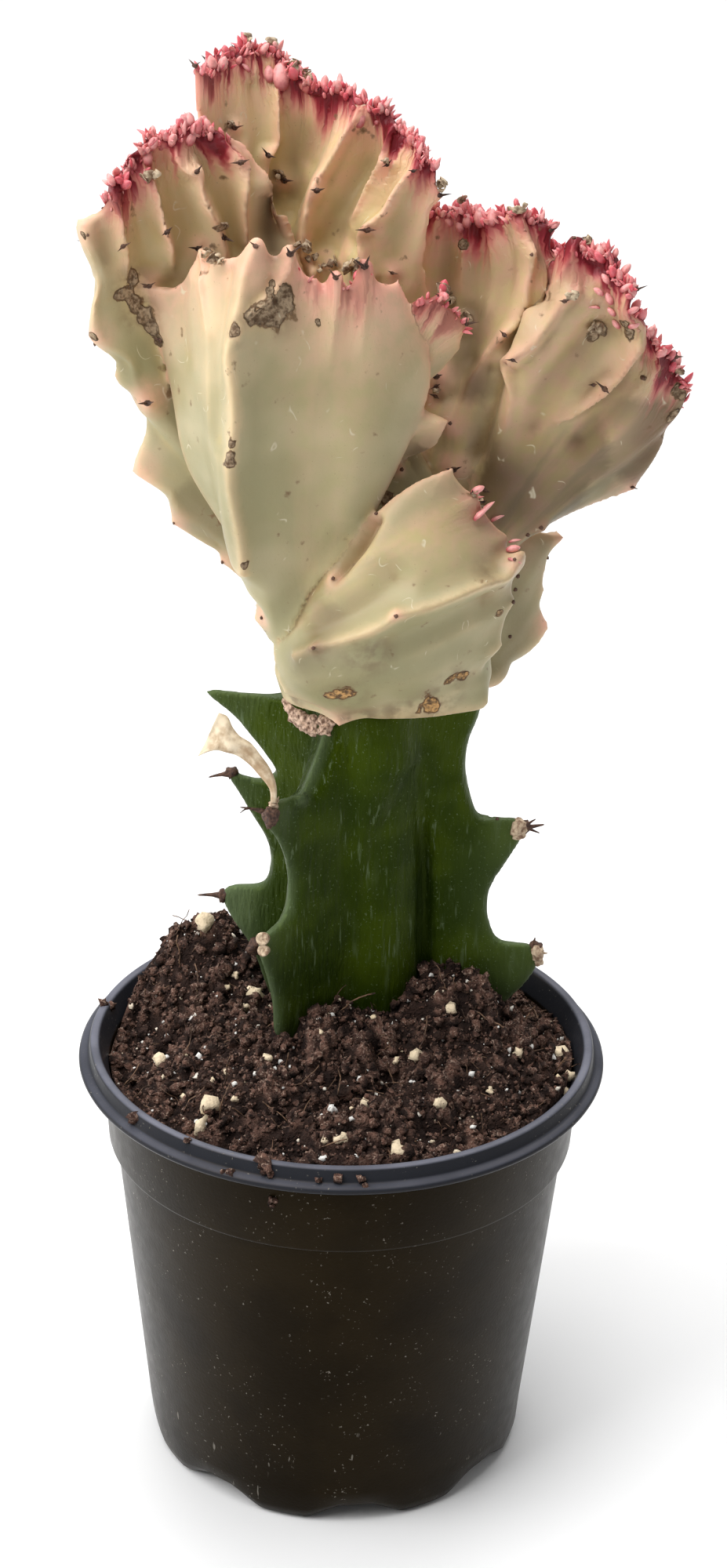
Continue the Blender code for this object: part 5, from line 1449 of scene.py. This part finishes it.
def make_grit(ground):
    """White and cream perlite."""
    draw = random.Random(34)
    patterns = [lump_pattern(k + 20, 2, 0.9) for k in range(6)] + [lump_pattern(k + 26, 1, 1.0) for k in range(6)]
    places = [(kind + 6, *rest) for kind, *rest in strew(ground, draw, PERLITE_BITS, PERLITE_SIZES, 6, 0.2)]
    for u, v, size in LARGE_PERLITE:
        hit = ground.ray_cast(*sight(u, v))[0]
        if hit:
            places.append((draw.randrange(6), np.array(hit) + (0, 0, 0.3 * size), (0.3, 0.2, 1),
                           draw.uniform(0, 6), size, 0.9))
    return tinted_mesh("perlite_grains", *scattered(patterns, places))


def fibre_pattern(seed):
    draw = random.Random(seed)
    path = [np.zeros(3)]
    way = np.array([draw.uniform(-1, 1), draw.uniform(-1, 1), 0.3])
    for _ in range(5):
        way = way + [draw.uniform(-0.5, 0.5), draw.uniform(-0.5, 0.5), draw.uniform(-0.5, 0.4)]
        way = way / np.linalg.norm(way)
        path.append(path[-1] + way)
    rings = [np.array([point + 0.11 * np.array([math.cos(t), math.sin(t) * 0.5, math.sin(t)])
                       for t in (0, 2.1, 4.2)]) for point in path]
    return stacked_rings(rings)


def make_fibres(ground):
    draw = random.Random(8)
    patterns = [fibre_pattern(k) for k in range(7)]
    return tinted_mesh("fibres", *scattered(patterns, strew(ground, draw, FIBRES, FIBRE_SIZES, 7, 0.3, 49)))


# Pot


# From the foot up and over the rim to the inside: a radius and a height to start from, then how far out and up
# from there each ring lies and how much of the foot's arches it takes.
POT_STEPS = (
    (BASE_RADIUS, 0, ((0, 0, 0),)),
    (BODY_FOOT_RADIUS, 0, ((-3.2, 0, 0.9), (-1.9, 0.25, 1), (-1.0, 1.2, 1), (-0.4, 3.2, 0.6), (0, FEET_TOP, 0),
                           (0.1 * (BODY_TOP_RADIUS - BODY_FOOT_RADIUS), 15.3, 0))),
    (BODY_TOP_RADIUS, COLLAR_FOOT, ((-0.1, -1, 0), (0, -0.15, 0), (0.15, 0, 0))),
    (COLLAR_RADIUS, COLLAR_FOOT, ((-1.35, 0.1, 0), (-1.1, 0.3, 0), (-1.0, 0.7, 0))),
    (COLLAR_RADIUS, POT_HEIGHT, ((-0.1, -6, 0), (0, -5.1, 0), (0.4, -4.85, 0))),
    (LIP_RADIUS, POT_HEIGHT, ((-0.8, -4.75, 0), (-0.25, -4.6, 0), (0, -4.1, 0), (-0.1, -3.6, 0), (-0.6, -3.25, 0),
                              (-1.4, -3.1, 0))),
    (CROWN_RADIUS, POT_HEIGHT, ((0.5, -2.95, 0), (0.2, -2.6, 0), (0, -0.6, 0), (-0.25, -0.15, 0), (-0.7, 0, 0),
                                (-1.5, -0.02, 0), (-2.0, -0.25, 0), (-2.25, -0.8, 0))),
    (COLLAR_RADIUS - WALL, POT_HEIGHT, ((0.3, -4.4, 0), (0, -5.5, 0))),
    (COLLAR_RADIUS - 1 - WALL, COLLAR_FOOT, ((0, 0.5, 0),)),
    (BODY_TOP_RADIUS - WALL, COLLAR_FOOT, ((0, -1, 0),)),
    (BODY_FOOT_RADIUS, 0, ((-WALL, FEET_TOP, 0),)),
    (BODY_FOOT_RADIUS - 0.7, 0, ((-WALL, 5, 0.4),)),
    (BODY_FOOT_RADIUS, 0, ((-4, 2.4, 0.8),)),
    (BASE_RADIUS, 0, ((0, 1.5, 0),)),
)
POT_PROFILE = [(radius + out, height + up, arch) for radius, height, steps in POT_STEPS for out, up, arch in steps]


def make_pot():
    """The moulded pot: its profile drawn up ring by ring, feet raised between arches, drains cut."""
    bpy.ops.object.select_all(action="DESELECT")
    bpy.ops.mesh.primitive_circle_add(vertices=POT_SIDES, radius=POT_PROFILE[0][0] * MM, fill_type="NOTHING")
    pot = bpy.context.object
    bpy.ops.object.mode_set(mode="EDIT")
    bpy.ops.mesh.select_all(action="SELECT")
    for (radius, height, _), (next_radius, next_height, _) in zip(POT_PROFILE, POT_PROFILE[1:]):
        grow = next_radius / radius
        bpy.ops.mesh.extrude_region_move(TRANSFORM_OT_translate={"value": (0, 0, (next_height - height) * MM)})
        bpy.ops.transform.resize(value=(grow, grow, 1), center_override=(0, 0, 0))
    bpy.ops.mesh.edge_face_add()
    bpy.ops.object.mode_set(mode="OBJECT")
    mesh = pot.data
    points = points_of(mesh)
    turn = np.arctan2(points[:, 1], points[:, 0])
    arch = 0.5 - 0.5 * np.cos(FEET * (turn - FOOT_TURN))
    ring = np.arange(len(points)) // POT_SIDES
    share = np.array([POT_PROFILE[min(k, len(POT_PROFILE) - 1)][2] for k in ring])
    points[:, 2] += ARCH_HEIGHT * share * np.clip(1.5 * arch - 0.35, 0, 1)
    place_points(mesh, points)
    model = bmesh.new()
    model.from_mesh(mesh)
    bottom = [edge for edge in model.edges if edge.is_boundary]
    bmesh.ops.contextual_create(model, geom=bottom)
    bmesh.ops.recalc_face_normals(model, faces=model.faces)
    model.to_mesh(mesh)
    model.free()
    bpy.ops.object.select_all(action="DESELECT")
    cutters = []
    for k in range(FEET):
        turn = FOOT_TURN + 2 * math.pi * (k + 0.5) / FEET
        bpy.ops.mesh.primitive_cylinder_add(
            vertices=24, radius=DRAIN_RADIUS * MM, depth=12 * MM,
            location=(DRAIN_REACH * math.cos(turn) * MM, DRAIN_REACH * math.sin(turn) * MM, 0))
        cutters.append(bpy.context.object)
    for cutter in cutters:
        cut = pot.modifiers.new("drain", "BOOLEAN")
        cut.operation = "DIFFERENCE"
        cut.object = cutter
    bpy.context.view_layer.objects.active = pot
    for step in list(pot.modifiers):
        bpy.ops.object.modifier_apply(modifier=step.name)
    for cutter in cutters:
        bpy.data.objects.remove(cutter)
    mesh = pot.data
    bpy.data.objects.remove(pot)
    return mesh


# Finishes


class Finish:
    """A material whose pattern is built up node by node, on the piece's own coordinates in metres."""

    def __init__(self, name, roughness):
        self.material = bpy.data.materials.new(name)
        self.material.use_nodes = True
        self.tree = self.material.node_tree
        self.shader = self.tree.nodes["Principled BSDF"]
        self.set("Roughness", roughness)
        self.place = self.node("ShaderNodeTexCoord").outputs["Object"]

    def node(self, kind, **settings):
        node = self.tree.nodes.new(kind)
        for key, value in settings.items():
            setattr(node, key, value)
        return node

    def feed(self, socket, value):
        if isinstance(value, bpy.types.NodeSocket):
            self.tree.links.new(value, socket)
        elif isinstance(value, tuple) and len(value) == 3 and socket.type == "RGBA":
            socket.default_value = (*value, 1)
        else:
            socket.default_value = value

    def set(self, name, value):
        self.feed(self.shader.inputs[name], value)

    def stored(self, name, output="Color"):
        """The three numbers that the mesh stores at each point, and the alpha."""
        node = self.node("ShaderNodeAttribute", attribute_name=name)
        return *self.parts(node.outputs[output]), node.outputs["Alpha"]

    def parts(self, vector):
        node = self.node("ShaderNodeSeparateXYZ")
        self.feed(node.inputs[0], vector)
        return node.outputs

    def joined(self, x, y, z):
        node = self.node("ShaderNodeCombineXYZ")
        for socket, value in zip(node.inputs, (x, y, z)):
            self.feed(socket, value)
        return node.outputs[0]

    def calc(self, kind, first, second=0.0):
        """Two values added, multiplied or combined in another way."""
        node = self.node("ShaderNodeMath", operation=kind)
        self.feed(node.inputs[0], first)
        self.feed(node.inputs[1], second)
        return node.outputs[0]

    def times(self, first, second):
        return self.calc("MULTIPLY", first, second)

    def span(self, value, low, high, first=0.0, last=1.0):
        """A value's place between low and high, as a number from first to last."""
        node = self.node("ShaderNodeMapRange", interpolation_type="SMOOTHSTEP")
        for name, each in zip(("Value", "From Min", "From Max", "To Min", "To Max"), (value, low, high, first, last)):
            self.feed(node.inputs[name], each)
        return node.outputs[0]

    def grain(self, size, detail=3.0, stretch=(1, 1, 1), vector=None):
        """Cloudy noise with features of a size in millimetres, longer where stretch is above 1."""
        mapping = self.node("ShaderNodeMapping")
        self.feed(mapping.inputs["Vector"], vector or self.place)
        unit = 1.0 if vector else 1 / MM
        mapping.inputs["Scale"].default_value = [unit / size / s for s in stretch]
        node = self.node("ShaderNodeTexNoise")
        node.inputs["Scale"].default_value = 1
        node.inputs["Detail"].default_value = detail
        self.feed(node.inputs["Vector"], mapping.outputs[0])
        return node.outputs["Fac"]

    def mix(self, share, first, second):
        node = self.node("ShaderNodeMix", data_type="RGBA")
        self.feed(node.inputs[0], share)
        self.feed(node.inputs[6], first)
        self.feed(node.inputs[7], second)
        return node.outputs[2]

    def coat(self, base, *layers):
        """Colours the surface: a base, and colours laid over it one after the other, each by its share."""
        for share, colour in layers:
            base = self.mix(share, base, colour)
        self.set("Base Color", base)

    def bumps(self, *layers):
        """Bumps over one another, each a height from 0 to 1 and how deep that is in millimetres."""
        under = None
        for height, depth in layers:
            node = self.node("ShaderNodeBump")
            node.inputs["Strength"].default_value = 1.0
            node.inputs["Distance"].default_value = depth * MM
            self.feed(node.inputs["Height"], height)
            if under:
                self.feed(node.inputs["Normal"], under)
            under = node.outputs[0]
        self.set("Normal", under)


def crest_finish():
    """Waxy skin: cream to sage, yellow and rosy on the ridges in part as painted highlight, brownish painted shade in
    the hollows, darker painted shadow of other lobes, crimson at the margin.
    """
    finish = Finish("crest skin", 0.42)
    span, times, grain, mix, calc = finish.span, finish.times, finish.grain, finish.mix, finish.calc
    along, below, fan, _ = finish.stored("growth", "Vector")
    flush_and_highlight, red, yellow_and_highlight, shade = finish.stored("tint")
    cork, smudge, cast_shade, _ = finish.stored("age_and_shade")
    streaks, patches = (grain(1, 2, vector=finish.joined(*map(times, (along, below, fan), scales)))
                        for scales in ((0.5, 0.06, 5.3), (0.11, 0.03, 3.1)))
    cloud, mottle, fine, flakes = grain(22, 2), grain(3.5, 4), grain(0.6, 3), grain(1.6, 3)
    ragged = calc("ADD", below, span(streaks, 0.3, 0.7, -2.4, 2.4))
    ragged = calc("ADD", ragged, span(patches, 0.35, 0.65, -3.0, 2.0))
    strong = span(red, 0.42, 0.92)
    rough_cork = calc("ADD", cork, span(mottle, 0.2, 0.8, -0.35, 0.35))
    corky = span(rough_cork, 0.36, 0.5)
    bark = mix(span(calc("ADD", times(fine, 0.4), times(flakes, 0.6)), 0.38, 0.6), CORK_DARK,
               mix(span(finish.parts(finish.place)[2], 0.21, 0.19), CORK_PALE, CORK_ORANGE))
    lines = calc("ABSOLUTE", calc("SUBTRACT", grain(7, 1), 0.5))
    scratches = times(span(lines, 0.0, 0.012, 1.0, 0.0), span(grain(4.5, 2), 0.60, 0.68, 0.0, 0.7))
    tanned = times(span(red, 0.3, 0.9, 0.0, 0.85),
                   times(span(fan, 1.2, 1.8, 0.35, 1.0), span(patches, 0.36, 0.6, 0.35, 1.0)))
    # The hollow colours are painted shade, the shadow brown is painted cast shadow, and the yellow and part of the
    # salmon are painted highlight.
    finish.coat(mix(span(cloud, 0.38, 0.62), SAGE, CREAM),
                (tanned, mix(span(mottle, 0.3, 0.7), TAN, ROSY)),
                (times(yellow_and_highlight, span(cloud, 0.2, 0.6, 0.3, 0.7)), YELLOW),
                (times(shade, span(mottle, 0.2, 0.8, 0.7, 0.95)),
                 mix(span(fan, 2.1, 2.7), HOLLOW_SHADE_OLIVE, HOLLOW_SHADE_BROWN)),
                (times(flush_and_highlight, span(mottle, 0.25, 0.65, 0.5, 1.0)), SALMON),
                (times(cast_shade, span(cloud, 0.3, 0.7, 0.75, 1.0)), SHADOW_BROWN),
                (times(span(ragged, 1.5, 8.5, 0.7, 0.0), strong), PINK),
                (times(span(ragged, 0.5, 5, 1.0, 0.0), strong), MAGENTA),
                (times(span(ragged, -1, 2.6, 0.85, 0.0), strong), MAROON),
                (times(smudge, span(mottle, 0.35, 0.6)), SMUDGE_BROWN),
                (span(rough_cork, 0.26, 0.36), SCAR_EDGE),
                (corky, bark),
                (scratches, SCRATCH),
                (span(grain(0.35, 1), 0.74, 0.8, 0, 0.6), SMUDGE_BROWN))
    finish.set("Roughness", span(corky, 0, 1, 0.42, 0.85))
    finish.set("Subsurface Weight", 0.1)
    finish.set("Subsurface Radius", (1.0, 0.45, 0.3))
    finish.set("Subsurface Scale", 0.002)
    finish.set("Specular IOR Level", 0.25)
    ribbed = times(streaks, times(span(below, 2, 16, 1.0, 0.0), strong))
    finish.bumps((ribbed, 1.6), (mottle, 0.12), (times(flakes, corky), 1.2), (fine, 0.02))
    return finish.material


def bud_finish():
    finish = Finish("young leaves", 0.38)
    tone, height, _, _ = finish.stored("tint")
    mottle = finish.grain(0.9, 3)
    finish.coat(finish.mix(tone, BUD_ROSE, BUD_PALE),
                (finish.span(height, 0, 0.45, 0.75, 0.0), MAGENTA),
                (finish.span(mottle, 0.45, 0.7, 0, 0.35), BUD_DEEP))
    finish.set("Subsurface Weight", 0.2)
    finish.set("Subsurface Radius", (1.0, 0.4, 0.35))
    finish.set("Subsurface Scale", 0.0015)
    finish.bumps((mottle, 0.1))
    return finish.material


def woody_finish(name, dark, pale, size, depth, roughness=0.75):
    finish = Finish(name, roughness)
    tone = finish.stored("tint")[0]
    grain = finish.grain(size, 4)
    grain_share = finish.calc("ADD", grain, finish.times(tone, 0.2))
    finish.coat(finish.mix(finish.span(grain_share, 0.4, 0.8), dark, pale))
    finish.bumps((grain, depth))
    return finish.material


def stem_finish():
    """Deep green waxy skin with grey bloom in upright streaks, and painted shade down the crease."""
    finish = Finish("stem skin", 0.45)
    span, times, grain = finish.span, finish.times, finish.grain
    edge, _, crease_and_shade, _ = finish.stored("tint")
    x, _, z = finish.parts(finish.place)
    cloud, specks = grain(14, 2), grain(0.5, 2)
    streaks = grain(1.6, 4, stretch=(1, 1, 7))
    bloom = times(span(streaks, 0.52, 0.75), span(cloud, 0.4, 0.75, 0.03, 0.5))
    bloom = times(bloom, span(z, 0.125, 0.172, 1.0, 0.35))
    misty = times(span(x, -0.014, -0.024, 0.0, 0.5), span(z, 0.145, 0.132, 0.0, 1.0))
    bloom = finish.calc("MAXIMUM", bloom, times(misty, span(cloud, 0.3, 0.6, 0.5, 1.0)))
    wisps = times(span(grain(0.8, 3, stretch=(1, 1, 9)), 0.58, 0.7, 0.0, 0.65),
                  span(grain(6, 1, stretch=(1, 1, 2)), 0.46, 0.6))
    bloom = finish.calc("MAXIMUM", bloom, wisps)
    finish.coat(finish.mix(span(cloud, 0.35, 0.65), STEM_DARK, STEM_GREEN),
                (bloom, STEM_BLOOM),
                (times(edge, 0.55), STEM_BLOOM),
                (span(specks, 0.64, 0.72, 0, 0.6), STEM_BLOOM),
                (span(crease_and_shade, 0.0, 0.9, 0.0, 0.6), STEM_CREASE_SHADE))
    finish.set("Roughness", span(streaks, 0.3, 0.7, 0.38, 0.6))
    finish.set("Specular IOR Level", 0.3)
    finish.set("Specular Tint", (0.5, 0.7, 0.12, 1))
    finish.bumps((streaks, 0.3), (grain(0.8, 3, stretch=(1, 1, 4)), 0.3), (specks, 0.06))
    return finish.material


def soil_finish(name):
    finish = Finish(name, 0.92)
    height = finish.stored("tint")[1]
    coarse, fine = finish.grain(2.2, 4), finish.grain(0.5, 4)
    # Low places and the undersides of crumbs are darkened as painted shade.
    finish.coat(finish.mix(finish.span(coarse, 0.35, 0.65), PEAT_DARK, PEAT_BROWN),
                (finish.times(finish.span(fine, 0.5, 0.72, 0, 0.9), height), PEAT_PALE),
                (finish.span(height, 0.1, 0.6, 0.85, 0.0), PEAT_SHADE))
    finish.set("Specular IOR Level", 0.25)
    finish.bumps((coarse, 1.4), (fine, 0.9))
    return finish.material


def perlite_finish():
    finish = Finish("perlite", 0.85)
    tone = finish.stored("tint")[0]
    fine = finish.grain(0.5, 4)
    finish.coat(finish.mix(finish.span(tone, 0.5, 1.0), PERLITE_WHITE, PERLITE_CREAM),
                (finish.span(fine, 0.55, 0.75, 0, 0.6), PERLITE_SHADE))
    finish.bumps((fine, 0.3))
    return finish.material


def pot_finish():
    """Black moulded plastic, scuffed and dusty, with painted reflection on the rim: bluish black over it and grey
    highlight on its top faces.
    """
    finish = Finish("pot plastic", 0.4)
    span, times, grain = finish.span, finish.times, finish.grain
    z = finish.parts(finish.place)[2]
    upward = finish.parts(finish.node("ShaderNodeNewGeometry").outputs["Normal"])[2]
    cloud, dust, scuffs, patches = grain(18, 4), grain(0.7, 3), grain(3, 4), grain(9, 2)
    # The top faces of the crown, and the lip at less strength, get a painted highlight.
    crown = span(z, 0.0975, 0.0985)
    lip = times(span(z, 0.0942, 0.0952), span(z, 0.0964, 0.0958))
    rim = times(finish.calc("MAXIMUM", crown, times(lip, 0.4)), span(upward, 0.5, 0.95))
    nicks = times(span(grain(1.1, 2, stretch=(1, 1, 5)), 0.68, 0.72, 0, 0.7),
                  times(span(patches, 0.5, 0.58), span(z, 0.03, 0.02)))
    finish.coat(finish.mix(span(cloud, 0.35, 0.65), POT_BLACK, POT_BROWN),
                (span(z, 0.0936, 0.0942), RIM_REFLECTION_BLACK),
                (times(rim, span(cloud, 0.3, 0.7, 0.5, 1.0)), RIM_HIGHLIGHT_GREY),
                (times(span(dust, 0.66, 0.72, 0, 0.8), span(patches, 0.48, 0.6)), POT_DUST),
                (nicks, POT_DUST))
    finish.set("Roughness", span(scuffs, 0.3, 0.7, 0.3, 0.36))
    finish.set("IOR", 1.4)
    finish.set("Specular IOR Level", 0.2)
    finish.set("Specular Tint", (0.4, 0.26, 0.09, 1))
    finish.bumps((cloud, 0.12), (dust, 0.03))
    return finish.material


def floor_finish():
    finish = Finish("pale floor", 0.7)
    finish.coat(finish.mix(finish.grain(300, 2), FLOOR_GREY, FLOOR_WHITE))
    return finish.material


# Stage


def make_stage():
    bpy.ops.object.select_all(action="DESELECT")
    bpy.ops.mesh.primitive_plane_add(size=FLOOR_SIZE * MM, location=(0, FLOOR_BACK * MM, 0))
    floor = bpy.context.object
    floor.name = "floor"
    floor.data.materials.append(floor_finish())
    world = bpy.data.worlds.new("studio air")
    bpy.context.scene.world = world
    world.use_nodes = True
    world.node_tree.nodes["Background"].inputs["Color"].default_value = (1, 1, 1, 1)
    world.node_tree.nodes["Background"].inputs["Strength"].default_value = AIR_LIGHT
    for name, place, size, power, aim in LAMPS:
        bpy.ops.object.light_add(type="AREA", location=[c * MM for c in place])
        lamp = bpy.context.object
        lamp.name = name
        lamp.data.size = size * MM
        lamp.data.energy = power
        lamp.rotation_euler = (Vector(aim) - Vector(place)).to_track_quat("-Z", "Y").to_euler()
    camera = bpy.data.cameras.new("camera")
    camera.lens = LENS
    camera.sensor_width = SENSOR
    camera.clip_start = 0.01
    holder = bpy.data.objects.new("camera", camera)
    bpy.context.scene.collection.objects.link(holder)
    place = camera_place()
    place.translation = place.translation * MM
    holder.matrix_world = place
    bpy.context.scene.camera = holder
    bpy.context.scene.view_settings.view_transform = "Standard"


make_stage()

pot_mesh = make_pot()
new_piece("nursery_pot", pot_mesh, pot_finish(), ["pot"])
soil_mesh = make_soil()
peat = soil_finish("peat")
new_piece("soil_bed", soil_mesh, peat, ["soil"])
ground = faces_tree(soil_mesh)
pot_tree = faces_tree(pot_mesh, soil_mesh)
new_piece("soil_crumbs", make_crumbs(ground), peat)
new_piece("peat_grains", make_dust(ground), peat)
fibrous = woody_finish("fibre", FIBRE_DARK, FIBRE_PALE, 1, 0.1)
new_piece("soil_fibres", make_fibres(ground), fibrous)
new_piece("perlite_grains", make_grit(ground), perlite_finish(), nodes_named("perlite_"))

stem = make_stem()
new_piece("green_stem", stem.mesh, stem_finish(), ["rootstock"])

skin, margins = make_crest()
new_piece("crest_flesh", skin.mesh, crest_finish(), ["crest"])
spine_wood = woody_finish("spine wood", SPINE_DARK, SPINE_PALE, 0.6, 0.1)
new_piece("spine_pairs", make_spines(skin), spine_wood, nodes_named("crest_spines"))
new_piece("margin_buds", make_buds(skin, margins), bud_finish(), nodes_named("leaf_bud"))
dead_leaf = woody_finish("dead leaf", DEAD_DARK, DEAD_PALE, 0.8, 0.15)
new_piece("dead_leaf_curls", make_curls(skin), dead_leaf, nodes_named("leaf_remains"))

dark_tips, pale_tips = make_stem_tips(stem)
new_piece("stem_spines", dark_tips, spine_wood)
cut_wood = woody_finish("cut wood", CUT_DARK, CUT_PALE, 0.9, 0.25)
new_piece("stem_stubs", pale_tips, cut_wood, nodes_named("stem_stub"))
papery = woody_finish("papery leaf", PAPER_DARK, PAPER_PALE, 2.2, 0.3, 0.8)
new_piece("withered_leaf", make_dried_leaf(stem), papery, ["dried_leaf"])
crust = woody_finish("callus crust", CRUST_DARK, CRUST_PALE, 0.8, 0.3, 0.9)
new_piece("callus_crust", make_callus(stem, skin), crust, ["graft_callus"])
